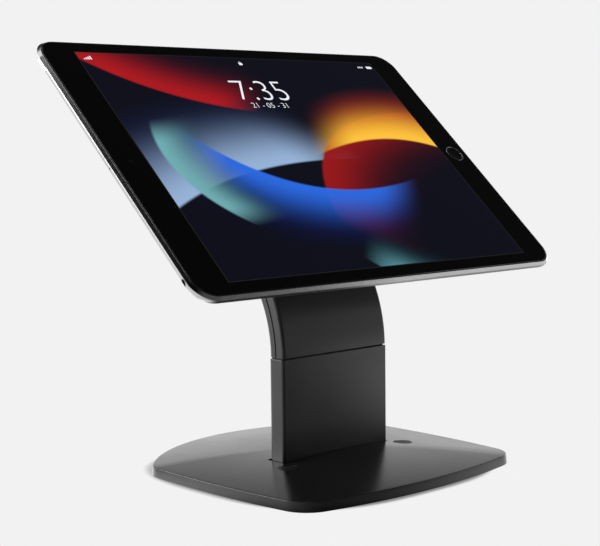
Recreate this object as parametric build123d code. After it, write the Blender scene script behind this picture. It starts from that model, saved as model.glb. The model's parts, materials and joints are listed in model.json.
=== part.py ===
from build123d import *
import math
import os

os.makedirs("parts", exist_ok=True)

# Point of sale tablet stand, millimetres.
# The origin is the middle of the base's footprint, on the counter.
# +X is to the user's right, -Y is the user's side and +Z is up.

# Base footprint: four shallow arcs with rounded corners
base_half_width = 79.5
base_front = 78.0
base_rear = 78.0
front_arc_radius = 300.0
side_arc_radius = 520.0
rear_arc_radius = 100.0
front_corner_radius = 16.0
rear_corner_radius = 14.0

# Base section
rim_lift = 0.8
rim_height = 5.0
rim_flare = 0.4
rim_edge = 0.5
crown_rise = 4.9
cover_wall = 2.0
pad_thickness = 1.5
pad_inset = 4.0
casting_gap = 0.4
foot_web = 3.5
hole_gap = 0.1

# Fasteners of the base
cover_boss_radius = 3.5
cover_screw_radius = 1.5
cover_screw_head = 2.9
cover_screw_length = 6.0
cover_screw_spots = [(-52, -48), (52, -48), (-58, 22), (58, 22), (0, -60), (0, 56)]
column_bolt_radius = 2.5
column_bolt_head = 4.6
column_bolt_length = 16.0
column_bolt_spacing = 55.0
fastener_clearance = 1.0
bolt_down_radius = 2.6
bolt_down_spacing = 83.2
bolt_down_y = -21.3
plug_radius = 5.0
plug_thickness = 1.4
plug_skirt = 2.6
plug_sink = 0.25
plug_chamfer = 0.3
plug_step = 0.3
plug_wall = 0.9

# Column: a flat extrusion with a pocket for the spine and a cable duct behind it
column_width = 74.5
column_thickness = 11.0
column_front = -13.9
column_front_edge = 1.4
column_rear_edge = 3.0
column_slot_gap = 0.6
slot_corner = 1.0
slot_collar = 2.0
split_height = 61.6
split_gap = 0.8
duct_width = 26.0
duct_depth = 3.8
duct_floor = 11.5
outlet_width = 12.0
outlet_height = 7.0
outlet_corner = 2.3
outlet_step = 1.0

# Arm: bends back from the column's line, then runs straight to the hinge
bend_radius = 74.0
bend_angle = 38.0
hinge_run = 35.0
shell_run = 16.5
arm_inset = 0.4
front_wall = 2.2
rear_wall = 1.8
seam_gap = 0.8
front_flange = 3.4
rear_flange = 2.2
lip_gap = 0.2
lip_reach = 1.6
end_wall = 2.0
inlet_width = 14.0
spine_thickness = 3.0
spine_width = 45.0
spine_gap = 0.1
tongue_length = 34.0
tongue_screw_radius = 2.0
tongue_screw_head = 3.9
tongue_screw_x = 17.5
tongue_screw_drops = [11.0, 25.0]
screw_end_gap = 0.3
socket_radius_share = 0.55
socket_depth_share = 0.67
shell_screw_radius = 1.25
shell_screw_head = 2.5
shell_boss_radius = 2.9
shell_boss_x = 15.0
shell_boss_angles = [11.0, 33.0]

# Tilt hinge
barrel_radius = 9.0
barrel_length = 46.0
hinge_pin_radius = 4.0
hinge_pin_gap = 0.05
washer_thickness = 1.0
washer_gap = 0.15
ear_thickness = 4.0
ear_radius = 10.5
hinge_head_radius = 7.0
hinge_head_length = 4.5
nut_across_flats = 13.0
nut_length = 5.0
cone_washer_thickness = 1.0
cone_washer_radius = 8.0
cone_washer_rise = 1.0
pin_end_past_nut = 0.5
pin_head_edge = 1.2
pin_socket_radius = 2.8
pin_socket_depth = 2.7
barrel_chamfer = 0.6
cap_wall = 1.4
cap_end_gap = 0.3
cap_radius = 10.2

# Tilt bracket and swivel
flange_width = 76.0
flange_height = 64.0
flange_thickness = 4.0
flange_corner = 8.0
hinge_stand_off = 20.15
swivel_above_hinge = 3.4
ear_foot_low = 20.0
ear_foot_high = 26.0
hub_radius = 12.0
hub_spigot_radius = 9.0
hub_gap = 0.05
disc_radius = 24.0
disc_thickness = 1.5
disc_gap = 0.15
plate_size = 110.0
plate_thickness = 3.2
plate_corner = 12.0
pocket_radius = 18.5
pocket_depth = 1.7
keeper_thickness = 1.5
keeper_gap = 0.3
keeper_screw_radius = 1.5
keeper_screw_head = 2.8
keeper_screw_length = 4.5
keeper_screw_circle = 8.5
stop_pin_radius = 2.0
stop_circle = 29.0
stop_angle = 45.0
stop_gap = 0.2
swivel_travel = 90.0
tape_size = 32.0
tape_corner = 3.0
tape_thickness = 1.0
tape_spacing = 72.0

# Tablet
screen_slope = 42.8
tablet_length = 250.6
tablet_height = 174.1
tablet_thickness = 7.5
tablet_corner = 12.5
back_edge_radius = 4.7
rim_chamfer = 1.4
rim_drop = 0.2
glass_inset = 2.05
glass_thickness = 0.8
glass_gap = 0.1
glass_edge = 0.25
ledge_inset = 4.5
room_corner = 6.0
back_wall = 1.0
end_border = 21.4
side_border = 9.1
display_thickness = 2.2
battery_thickness = 3.0
battery_inset = 11.95
battery_gap = 3.0
battery_corner = 3.0
board_length = 22.0
board_inset = 33.3
board_side_gap = 3.5
board_end_gap = 8.95
board_thickness = 1.2
board_lift = 1.0
board_post_radius = 2.0
can_length = 16.0
can_height = 36.0
can_thickness = 1.1
can_spacing = 46.0
board_corner = 1.5
display_corner = 1.0

# Buttons and ports of the tablet
button_gap = 0.15
side_button_length = 9.0
side_button_height = 2.0
side_button_z = -2.7
side_button_proud = 0.3
side_button_edge = 0.25
side_button_travel = 0.25
side_flange = 0.5
switch_gap = 0.05
switch_depth = 2.6
switch_length = 5.0
power_button_inset = 16.35
volume_button_insets = [37.3, 50.3]
home_button_inset = 11.1
home_button_radius = 4.95
home_button_sink = 0.15
home_dish_radius = 32.0
home_dish_depth = 0.25
home_flange_thickness = 0.5
home_flange_radius = 5.55
home_ring_radius = 5.7
home_ring_bore = 5.05
home_ring_gap = 0.05
home_ring_step = 0.8
home_travel = 0.3
home_module_size = 11.0
home_dome_radius = 2.0
home_dome_height = 0.6
home_dome_gap = 0.15
jack_inset = 13.75
jack_z = -3.6
jack_radius = 1.77
jack_body_radius = 2.7
jack_depth = 13.0
mic_radius = 0.5
mic_y = -1.8
mic_body = 2.4
port_length = 8.8
port_height = 2.6
port_wall = 0.4
port_depth = 5.2
port_z = -3.9
speaker_hole_radius = 0.75
speaker_pitch = 2.6
speaker_holes = 7
speaker_y = 38.0
speaker_z = -3.4
speaker_depth = 8.0
speaker_length = 24.0
speaker_height = 4.6
front_camera_inset = 11.5
front_camera_size = 6.5
front_camera_depth = 3.2
rear_camera_end_inset = 14.8
rear_camera_side_inset = 15.05
rear_camera_radius = 3.9
rear_camera_step = 0.6
rear_camera_depth = 2.4

# Values that follow from the sizes above
rim_top = rim_lift + rim_height
crown_top = rim_top + crown_rise
casting_floor = pad_thickness
foot_seat = casting_floor + foot_web
column_y = column_front + column_thickness / 2
arm_half = column_width / 2 - arm_inset
seam_front = (column_thickness - seam_gap) / 2
seam_rear = (column_thickness + seam_gap) / 2
spine_front = front_wall + spine_gap
spine_rear = spine_front + spine_thickness
duct_front = spine_rear + spine_gap
duct_rear = duct_front + duct_depth
bend_y = column_front + bend_radius
bend = math.radians(bend_angle)
ear_inner = barrel_length / 2 + washer_gap + washer_thickness
ear_outer = ear_inner + ear_thickness
half_length = tablet_length / 2
half_height = tablet_height / 2
display_length = tablet_length - 2 * end_border
display_height = tablet_height - 2 * side_border
board_x = board_inset - half_length
board_height = display_height - 2 * board_end_gap
battery_reach = -board_x - board_length / 2 - board_side_gap
battery_length = battery_reach - battery_gap / 2
battery_height = display_height - 2 * battery_inset

# Levels of the head, measured back from the front of the glass
tape_front = -tablet_thickness
plate_front = tape_front - tape_thickness
plate_back = plate_front - plate_thickness
disc_front = plate_back - disc_gap
flange_front = disc_front - disc_thickness
flange_back = flange_front - flange_thickness
hinge_level = flange_back - hinge_stand_off

# Working values
past = 1.0
near = 0.01
guide_rays = 8
guide_ratios = (0.35, 0.7)

parts = {}


# Shared shapes

def outline(inset):
    """The base footprint, drawn in by the given inset."""
    front = Pos(0, front_arc_radius - base_front) * Circle(front_arc_radius - inset)
    rear = Pos(0, base_rear - rear_arc_radius) * Circle(rear_arc_radius - inset)
    left = Pos(side_arc_radius - base_half_width, 0) * Circle(side_arc_radius - inset)
    right = Pos(base_half_width - side_arc_radius, 0) * Circle(side_arc_radius - inset)
    shape = Sketch() + (front & rear & left & right)
    front_corners = [v for v in shape.vertices() if v.Y < 0]
    shape = fillet(front_corners, max(front_corner_radius - inset, slot_corner))
    rear_corners = [v for v in shape.vertices() if is_rear_corner(v, inset)]
    return fillet(rear_corners, max(rear_corner_radius - inset, slot_corner))


def is_rear_corner(vertex, inset):
    """True for a corner where a side arc meets the rear arc."""
    centre_y = base_rear - rear_arc_radius
    reach = math.hypot(vertex.X, vertex.Y - centre_y)
    on_rear_arc = abs(reach - (rear_arc_radius - inset)) < near
    return on_rear_arc and vertex.Y > 0


def crown_prism(inset, depth):
    """A column of the footprint with the crowned top, all drawn in by the inset."""
    shape = outline(inset)
    edge_level = rim_top - depth
    guides = [(0, 0, edge_level + crown_rise)]
    for ratio in guide_ratios:
        for step in range(guide_rays):
            angle = step * math.tau / guide_rays
            ray = Edge.make_line((0, 0, 0), (2 * base_half_width * math.cos(angle),
                                             2 * base_half_width * math.sin(angle), 0))
            reach = (ray & shape.face()).length * ratio
            level = edge_level + crown_rise * (1 - ratio**2)
            guides.append((reach * math.cos(angle), reach * math.sin(angle), level))
    rim = Wire([edge.moved(Location((0, 0, edge_level))) for edge in shape.edges()])
    crown = Face.make_surface(rim, guides)
    body = Solid.extrude(crown, Vector(0, 0, -2 * crown_top))
    keep_height = 2 * crown_top
    floor_cut = Pos(0, 0, -keep_height / 2) * Box(4 * base_rear, 4 * base_rear, keep_height)
    return Part() + (body - floor_cut)


def level_cut(low, high):
    """A slab over the whole base between two levels."""
    return Pos(0, 0, (low + high) / 2) * Box(4 * base_rear, 4 * base_rear, high - low)


def rod(radius, low, high, x=0.0, y=0.0):
    """An upright cylinder between two levels."""
    return Pos(x, y, (low + high) / 2) * Cylinder(radius, high - low)


def cross_rod(radius, left, right):
    """A cylinder along X at the origin's height."""
    return Pos((left + right) / 2, 0, 0) * Rot(0, 90, 0) * Cylinder(radius, right - left)


def rounded_block(length, height, corner, low, high):
    """A plate with rounded corners between two levels."""
    face = RectangleRounded(length, height, corner)
    return Pos(0, 0, low) * extrude(face, high - low)


def flat_screw(radius, head_radius, length):
    """A countersunk screw: its head is flush at level 0 and it points down."""
    head_depth = head_radius - radius
    head = Pos(0, 0, -head_depth / 2) * Cone(radius, head_radius, head_depth)
    socket = rod(radius * socket_radius_share, -head_depth * socket_depth_share, 0)
    return rod(radius, -length, 0) + head - socket


def flat_screw_hole(radius, head_radius, length, gap):
    """The hole that a countersunk screw goes in, with its gap."""
    head_depth = head_radius - radius
    sink = Pos(0, 0, -head_depth / 2) * Cone(radius + gap, head_radius + gap, head_depth)
    return rod(radius + gap, -length, 0) + sink


def arm_slice(front, rear, half_width, run, tongue=0.0):
    """A slice of the bent arm between two depths behind its front face."""
    def on_bend(depth, angle):
        reach = bend_radius - depth
        return (bend_y - reach * math.cos(angle), split_height + reach * math.sin(angle))

    def side(depth):
        start, middle, end = (on_bend(depth, a) for a in (0, bend / 2, bend))
        tip = (end[0] + run * math.sin(bend), end[1] + run * math.cos(bend))
        foot = (start[0], split_height - tongue)
        return start, middle, end, tip, foot

    f_start, f_middle, f_end, f_tip, f_foot = side(front)
    r_start, r_middle, r_end, r_tip, r_foot = side(rear)
    profile = Curve() + ThreePointArc(f_start, f_middle, f_end)
    profile += Line(f_end, f_tip)
    profile += Line(f_tip, r_tip)
    profile += Line(r_tip, r_end)
    profile += ThreePointArc(r_end, r_middle, r_start)
    if tongue > 0:
        profile += Line(r_start, r_foot)
        profile += Line(r_foot, f_foot)
        profile += Line(f_foot, f_start)
    else:
        profile += Line(r_start, f_start)
    return extrude(Plane.YZ * make_face(profile), half_width, both=True)


def arm_depth(point):
    """How far a point lies behind the arm's front face."""
    y = point.Y - bend_y
    z = point.Z - split_height
    if z <= 0:
        return bend_radius + y
    if math.atan2(z, -y) <= bend:
        return bend_radius - math.hypot(y, z)
    return bend_radius - (z * math.sin(bend) - y * math.cos(bend))


def long_edges(shape, depth, half_width):
    """The edges that run along the arm at a given depth and half width."""
    found = []
    for edge in shape.edges():
        places = [edge @ share for share in (0.02, 0.5, 0.98)]
        at_side = all(abs(abs(p.X) - half_width) < near for p in places)
        if at_side and all(abs(arm_depth(p) - depth) < near for p in places):
            found.append(edge)
    return found


def arm_station(angle):
    """A plane on the arm's front face at an angle of the bend, facing to the rear."""
    turn = math.radians(angle)
    y = bend_y - bend_radius * math.cos(turn)
    z = split_height + bend_radius * math.sin(turn)
    return Plane(origin=(0, y, z), x_dir=(1, 0, 0), z_dir=(0, math.cos(turn), -math.sin(turn)))


# Base cover: a thin crowned casting with bosses, a collar for the column
skirt = loft([Pos(0, 0, rim_lift) * outline(-rim_flare), Pos(0, 0, rim_top) * outline(0)])
skirt_middle = (rim_lift + rim_top) / 2
skirt_and_crown = skirt + (crown_prism(0, 0) - level_cut(-crown_top, skirt_middle))
rim_edges = [edge for edge in skirt_and_crown.edges() if abs((edge @ 0.5).Z - rim_top) < near]
skirt_and_crown = fillet(rim_edges, rim_edge)
base_cover = skirt_and_crown
cover_hollow = crown_prism(cover_wall, cover_wall)
column_slot = RectangleRounded(column_width + 2 * column_slot_gap,
                               column_thickness + 2 * column_slot_gap, slot_corner)
collar_shape = RectangleRounded(column_width + 2 * (column_slot_gap + slot_collar),
                                column_thickness + 2 * (column_slot_gap + slot_collar),
                                slot_corner + slot_collar)
collar = Pos(0, column_y, foot_seat + casting_gap) * extrude(collar_shape, crown_top)
bosses = [rod(cover_boss_radius, foot_seat, crown_top, x, y) for x, y in cover_screw_spots]
inner_posts = (Part() + bosses + collar) & cover_hollow
base_cover = base_cover - cover_hollow + inner_posts
base_cover -= Pos(0, column_y, 0) * extrude(column_slot, 2 * crown_top)
for x, y in cover_screw_spots:
    base_cover -= rod(cover_screw_radius, 0, casting_floor + cover_screw_length, x, y)
for side in (-1, 1):
    hole = rod(plug_radius + hole_gap, 0, 2 * crown_top, side * bolt_down_spacing / 2, bolt_down_y)
    base_cover -= hole
parts["base_cover"] = base_cover

# Ballast casting: follows the crown from below and carries the column's foot
shrink = cover_wall + casting_gap
ballast = crown_prism(shrink, shrink) - level_cut(-crown_top, casting_floor)
foot_pocket = RectangleRounded(column_width + 2 * casting_gap,
                               column_thickness + 2 * casting_gap, slot_corner)
ballast -= Pos(0, column_y, foot_seat) * extrude(foot_pocket, crown_top)
collar_room = RectangleRounded(column_width + 2 * (column_slot_gap + slot_collar + casting_gap),
                               column_thickness + 2 * (column_slot_gap + slot_collar + casting_gap),
                               slot_corner + slot_collar)
ballast -= Pos(0, column_y, foot_seat) * extrude(collar_room, crown_top)
for x, y in cover_screw_spots:
    ballast -= rod(cover_boss_radius + casting_gap, foot_seat, crown_top, x, y)
    screw_hole = flat_screw_hole(cover_screw_radius, cover_screw_head, foot_web + past, hole_gap)
    ballast -= Pos(x, y, casting_floor) * Rot(180, 0, 0) * screw_hole
for side in (-1, 1):
    x = side * bolt_down_spacing / 2
    ballast -= rod(bolt_down_radius, 0, crown_top, x, bolt_down_y)
    ballast -= rod(plug_radius + hole_gap, foot_seat, crown_top, x, bolt_down_y)
for side in (-1, 1):
    bolt_hole = flat_screw_hole(column_bolt_radius, column_bolt_head, foot_web + past, hole_gap)
    ballast -= Pos(side * column_bolt_spacing / 2, column_y, casting_floor) * Rot(180, 0, 0) * bolt_hole
parts["ballast_casting"] = ballast

# Anti-slip pad with holes over every fastener
pad = extrude(outline(pad_inset), pad_thickness)
for x, y in cover_screw_spots:
    pad -= rod(cover_screw_head + fastener_clearance, 0, pad_thickness, x, y)
for side in (-1, 1):
    washer_room = plug_radius + fastener_clearance
    pad -= rod(washer_room, 0, pad_thickness, side * bolt_down_spacing / 2, bolt_down_y)
    bolt_room = column_bolt_head + fastener_clearance
    pad -= rod(bolt_room, 0, pad_thickness, side * column_bolt_spacing / 2, column_y)
parts["anti_slip_pad"] = pad

# Fasteners of the base
cover_screws = Part()
for x, y in cover_screw_spots:
    screw = flat_screw(cover_screw_radius, cover_screw_head, cover_screw_length - fastener_clearance)
    cover_screws += Pos(x, y, casting_floor) * Rot(180, 0, 0) * screw
parts["cover_screws"] = cover_screws

column_bolts = Part()
for side in (-1, 1):
    bolt = flat_screw(column_bolt_radius, column_bolt_head, column_bolt_length)
    column_bolts += Pos(side * column_bolt_spacing / 2, column_y, casting_floor) * Rot(180, 0, 0) * bolt
parts["column_bolts"] = column_bolts

# Caps that close the two bolt-down holes
for side, name in ((-1, "left_hole_cap"), (1, "right_hole_cap")):
    x = side * bolt_down_spacing / 2
    ray = Edge.make_line((x, bolt_down_y, 0), (x, bolt_down_y, 2 * crown_top))
    top = max(vertex.Z for vertex in (ray & skirt_and_crown).vertices()) - plug_sink
    cap = rod(plug_radius, top - plug_thickness, top, x, bolt_down_y)
    cap = chamfer(cap.faces().sort_by(Axis.Z)[-1].edges(), plug_chamfer)
    below = top - plug_thickness
    cap += rod(plug_radius - plug_step, below - plug_skirt, below, x, bolt_down_y)
    cap -= rod(plug_radius - plug_step - plug_wall, 0, below, x, bolt_down_y)
    parts[name] = cap

# Column: flat extrusion, bored from below for its bolts and open behind for the cable
column_section = Rectangle(column_width, column_thickness)
front_corners = [v for v in column_section.vertices() if v.Y < 0]
column_section = fillet(front_corners, column_front_edge)
rear_corners = [v for v in column_section.vertices()
                if v.Y > 0 and abs(v.X) > column_width / 2 - near]
column_section = fillet(rear_corners, column_rear_edge)
column_top = split_height - split_gap / 2
column = Pos(0, column_y, foot_seat) * extrude(column_section, column_top - foot_seat)
pocket = Box(spine_width + 2 * spine_gap, spine_thickness + 2 * spine_gap,
             tongue_length + spine_gap - split_gap / 2,
             align=(Align.CENTER, Align.MIN, Align.MAX))
column -= Pos(0, column_front + front_wall, column_top) * pocket
duct = Box(duct_width, duct_depth + spine_gap, column_top - duct_floor,
           align=(Align.CENTER, Align.MIN, Align.MIN))
column -= Pos(0, column_front + duct_front - spine_gap, duct_floor) * duct
column_rear = column_front + column_thickness
outlet_face = Plane.XZ * RectangleRounded(outlet_width, outlet_height, outlet_corner)
outlet = extrude(outlet_face, column_thickness - duct_front, both=True)
column -= Pos(0, column_rear, duct_floor + outlet_step + outlet_height / 2) * outlet
tongue_screw_spots = [(side * tongue_screw_x, split_height - drop)
                      for side in (-1, 1) for drop in tongue_screw_drops]
tongue_screw_length = column_thickness - spine_front - screw_end_gap
for x, z in tongue_screw_spots:
    hole = flat_screw_hole(tongue_screw_radius, tongue_screw_head, tongue_screw_length, hole_gap)
    column -= Pos(x, column_rear, z) * Rot(-90, 0, 0) * hole
for side in (-1, 1):
    bore_end = casting_floor + column_bolt_length + fastener_clearance
    column -= rod(column_bolt_radius, foot_seat, bore_end, side * column_bolt_spacing / 2, column_y)
parts["column"] = column

tongue_screws = Part()
for x, z in tongue_screw_spots:
    screw = flat_screw(tongue_screw_radius, tongue_screw_head, tongue_screw_length)
    tongue_screws += Pos(x, column_rear, z) * Rot(-90, 0, 0) * screw
parts["tongue_screws"] = tongue_screws

# Arm shells: a front channel and a rear lid with a lapped seam between them
below_split = Pos(0, column_y, split_height + split_gap / 2) * Box(
    2 * column_width, 4 * column_thickness, split_height,
    align=(Align.CENTER, Align.CENTER, Align.MAX))
spine_room = arm_slice(spine_front - spine_gap, spine_rear + spine_gap,
                       spine_width / 2 + spine_gap, shell_run + past)
shell_bosses = [arm_station(angle) * Pos(side * shell_boss_x, 0, 0)
                for angle in shell_boss_angles for side in (-1, 1)]

front_shell = arm_slice(0, seam_front, arm_half, shell_run)
front_shell = fillet(long_edges(front_shell, 0, arm_half), column_front_edge)
front_shell -= arm_slice(front_wall, seam_front + past, arm_half - front_flange, shell_run - end_wall)
lip_outer = arm_half - rear_flange - lip_gap
lip_inner = arm_half - front_flange
lip = arm_slice(seam_front, seam_rear + lip_reach, lip_outer, shell_run - end_wall - lip_gap)
lip -= arm_slice(seam_front - past, seam_rear + lip_reach + past, lip_inner, shell_run)
front_shell += lip
front_shell -= spine_room
for place in shell_bosses:
    front_shell += place * rod(shell_boss_radius, front_wall / 2, seam_rear)
    front_shell -= place * rod(shell_screw_radius, front_wall / 2, seam_rear)
parts["arm_front_shell"] = front_shell - below_split

rear_shell = arm_slice(seam_rear, column_thickness, arm_half, shell_run)
rear_shell = fillet(long_edges(rear_shell, column_thickness, arm_half), column_rear_edge)
rear_shell -= arm_slice(seam_rear - past, column_thickness - rear_wall, arm_half - rear_flange,
                        shell_run - end_wall)
shell_screw_length = column_thickness - front_wall - screw_end_gap
for place in shell_bosses:
    boss = place * rod(shell_boss_radius, seam_rear, column_thickness - rear_wall / 2)
    rear_shell += boss
    hole = flat_screw_hole(shell_screw_radius, shell_screw_head, shell_screw_length, hole_gap)
    rear_shell -= place * Pos(0, 0, column_thickness) * hole
inlet = arm_slice(seam_rear - past, column_thickness - rear_wall, inlet_width / 2, shell_run + past)
rear_shell -= inlet
parts["arm_rear_shell"] = rear_shell - below_split

shell_screws = Part()
for place in shell_bosses:
    screw = flat_screw(shell_screw_radius, shell_screw_head, shell_screw_length)
    shell_screws += place * Pos(0, 0, column_thickness) * screw
parts["shell_screws"] = shell_screws

# Spine: bent steel plate from the column's pocket to the hinge barrel, pierced by the bosses
hinge_y = (bend_y - (bend_radius - column_thickness / 2) * math.cos(bend)
           + hinge_run * math.sin(bend))
hinge_z = (split_height + (bend_radius - column_thickness / 2) * math.sin(bend)
           + hinge_run * math.cos(bend))
hinge_place = Pos(0, hinge_y, hinge_z)
spine = arm_slice(spine_front, spine_rear, spine_width / 2, hinge_run, tongue_length)
spine -= hinge_place * cross_rod(barrel_radius, -arm_half, arm_half)
for x, z in tongue_screw_spots:
    hole = rod(tongue_screw_radius, -column_thickness, column_thickness)
    spine -= Pos(x, column_rear, z) * Rot(-90, 0, 0) * hole
for place in shell_bosses:
    spine -= place * rod(shell_boss_radius + hole_gap, 0, column_thickness)
parts["arm_spine"] = spine

barrel = cross_rod(barrel_radius, -barrel_length / 2, barrel_length / 2)
barrel = chamfer(barrel.edges(), barrel_chamfer)
barrel -= cross_rod(hinge_pin_radius + hinge_pin_gap, -barrel_length, barrel_length)
parts["hinge_barrel"] = hinge_place * barrel

# Head: everything here is drawn flat behind the tablet, then placed at its slope.
# Local +Y runs up the screen, +Z out of the glass, and 0 is the middle of the glass.
slope = math.radians(screen_slope)
glass_y = hinge_y + swivel_above_hinge * math.cos(slope) + hinge_level * math.sin(slope)
glass_z = hinge_z + swivel_above_hinge * math.sin(slope) - hinge_level * math.cos(slope)
head_place = Pos(0, glass_y, glass_z) * Rot(screen_slope, 0, 0)
pin_place = Pos(0, -swivel_above_hinge, hinge_level)
stop_x = stop_circle * math.cos(math.radians(stop_angle))
stop_y = stop_circle * math.sin(math.radians(stop_angle))

ear_line = Line((flange_back, -swivel_above_hinge - ear_foot_low),
                (flange_back, -swivel_above_hinge + ear_foot_high))
ear_round = Pos(hinge_level, -swivel_above_hinge) * CenterArc((0, 0), ear_radius, 0, 360)
ear_face = make_face(make_hull(ear_line.edges() + ear_round.edges()))
ear_plane = Plane(origin=(0, 0, 0), x_dir=(0, 0, 1), z_dir=(-1, 0, 0))
flange = rounded_block(flange_width, flange_height, flange_corner, flange_back, flange_front)
bracket = flange
for side in (-1, 1):
    ear = extrude(ear_plane * ear_face, ear_thickness / 2, both=True)
    bracket += Pos(side * (ear_inner + ear_thickness / 2), 0, 0) * ear
bracket -= pin_place * cross_rod(hinge_pin_radius + hinge_pin_gap, -flange_width, flange_width)
bracket -= rod(hub_spigot_radius, flange_back - past, flange_front + past)
bracket -= rod(stop_pin_radius, flange_back - past, flange_front + past, stop_x, stop_y)
parts["tilt_bracket"] = head_place * bracket

washers = Part()
for side in (-1, 1):
    inner = side * (ear_inner - washer_thickness)
    outer = side * ear_inner
    ring = cross_rod(barrel_radius, min(inner, outer), max(inner, outer))
    ring -= cross_rod(hinge_pin_radius + hinge_pin_gap, min(inner, outer), max(inner, outer))
    washers += pin_place * ring
parts["friction_washers"] = head_place * washers

nut_start = ear_outer + 2 * cone_washer_thickness
pin_end = nut_start + nut_length + pin_end_past_nut
cap_end = pin_end + cap_end_gap + cap_wall
hinge_pin = cross_rod(hinge_pin_radius, -ear_outer, pin_end)
pin_head = cross_rod(hinge_head_radius, -ear_outer - hinge_head_length, -ear_outer)
pin_head = fillet(pin_head.faces().sort_by(Axis.X)[0].edges(), pin_head_edge)
socket = Plane.YZ * RegularPolygon(pin_socket_radius, 6)
pin_head -= Pos(-ear_outer - hinge_head_length, 0, 0) * extrude(socket, pin_socket_depth)
parts["hinge_pin"] = head_place * pin_place * (hinge_pin + pin_head)

cone_washers = Part()
for step in range(2):
    start = ear_outer + step * cone_washer_thickness
    cone = Pos(start + cone_washer_thickness / 2, 0, 0) * Rot(0, 90, 0) * Cone(
        cone_washer_radius - step * cone_washer_rise,
        cone_washer_radius - (step + 1) * cone_washer_rise, cone_washer_thickness)
    cone_washers += cone - cross_rod(hinge_pin_radius + hinge_pin_gap, start, pin_end)
parts["cone_washers"] = head_place * pin_place * cone_washers

nut_section = Plane.YZ * RegularPolygon(nut_across_flats / 2, 6, major_radius=False)
nut = Pos(nut_start, 0, 0) * extrude(nut_section, nut_length)
nut -= cross_rod(hinge_pin_radius, nut_start - past, pin_end)
parts["hinge_nut"] = head_place * pin_place * nut

for side, name in ((-1, "left_hinge_cap"), (1, "right_hinge_cap")):
    start, end = sorted((side * ear_outer, side * cap_end))
    cap = cross_rod(cap_radius, start, end)
    outer_face = cap.faces().sort_by(Axis.X)[-1 if side > 0 else 0]
    cap = fillet(outer_face.edges(), cap_wall)
    room_start, room_end = sorted((side * (ear_outer - past), side * (cap_end - cap_wall)))
    cap -= cross_rod(cap_radius - cap_wall, room_start, room_end)
    parts[name] = head_place * pin_place * cap

# Swivel between the bracket and the plate on the tablet's back
pocket_floor = plate_front - pocket_depth
hub = rod(hub_spigot_radius, flange_back, flange_front) + rod(hub_radius, flange_front, pocket_floor)
keeper = rod(pocket_radius - keeper_gap, pocket_floor, pocket_floor + keeper_thickness)
keeper_screws = Part()
for step in range(3):
    turn = math.radians(90 + 120 * step)
    spot = Pos(keeper_screw_circle * math.cos(turn), keeper_screw_circle * math.sin(turn),
               pocket_floor + keeper_thickness)
    hole = flat_screw_hole(keeper_screw_radius, keeper_screw_head, keeper_screw_length, hub_gap)
    hub -= spot * hole
    keeper -= spot * hole
    keeper_screws += spot * flat_screw(keeper_screw_radius, keeper_screw_head, keeper_screw_length)
parts["swivel_hub"] = head_place * hub
parts["swivel_keeper"] = head_place * keeper
parts["keeper_screws"] = head_place * keeper_screws

disc = rod(disc_radius, flange_front, flange_front + disc_thickness)
disc -= rod(hub_radius, flange_front - past, disc_front + past)
parts["swivel_disc"] = head_place * disc

stop_pin = rod(stop_pin_radius, flange_back, plate_back + plate_thickness / 2, stop_x, stop_y)
parts["stop_pin"] = head_place * stop_pin

plate = rounded_block(plate_size, plate_size, plate_corner, plate_back, plate_front)
plate -= rod(hub_radius + hub_gap, plate_back - past, plate_front + past)
plate -= rod(pocket_radius, pocket_floor, plate_front + past)
slot_track = CenterArc((0, 0), stop_circle, stop_angle, swivel_travel)
slot_face = SlotArc(slot_track, 2 * (stop_pin_radius + stop_gap))
plate -= Pos(0, 0, plate_back - past) * extrude(slot_face, plate_thickness + 2 * past)
parts["swivel_plate"] = head_place * plate

tapes = Part()
for x in (-1, 1):
    for y in (-1, 1):
        tape = rounded_block(tape_size, tape_size, tape_corner, plate_front, tape_front)
        tapes += Pos(x * tape_spacing / 2, y * tape_spacing / 2, 0) * tape
parts["mounting_tapes"] = head_place * tapes

# Tablet housing: a tray with a rounded back, a bevelled rim and a seat for the glass
rim_front = -rim_drop
housing = rounded_block(tablet_length, tablet_height, tablet_corner, -tablet_thickness, rim_front)
back_edges = housing.faces().sort_by(Axis.Z)[0].edges()
housing = fillet(back_edges, back_edge_radius)
rim_edges = housing.faces().sort_by(Axis.Z)[-1].edges()
housing = chamfer(rim_edges, rim_chamfer)
housing_outside = housing
glass_length = tablet_length - 2 * glass_inset
glass_height = tablet_height - 2 * glass_inset
glass_corner = tablet_corner - glass_inset
housing -= rounded_block(glass_length + 2 * glass_gap, glass_height + 2 * glass_gap,
                         glass_corner + glass_gap, -glass_thickness, 0)
housing_floor = back_wall - tablet_thickness
room_length = tablet_length - 2 * ledge_inset
room_height = tablet_height - 2 * ledge_inset
housing -= rounded_block(room_length, room_height, room_corner, housing_floor, -glass_thickness)
board_back = housing_floor + board_lift
for x in (-1, 1):
    for y in (-1, 1):
        post_x = board_x + x * (board_length / 2 - board_post_radius)
        post_y = y * (board_height / 2 - board_post_radius)
        housing += rod(board_post_radius, housing_floor, board_back, post_x, post_y)

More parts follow.
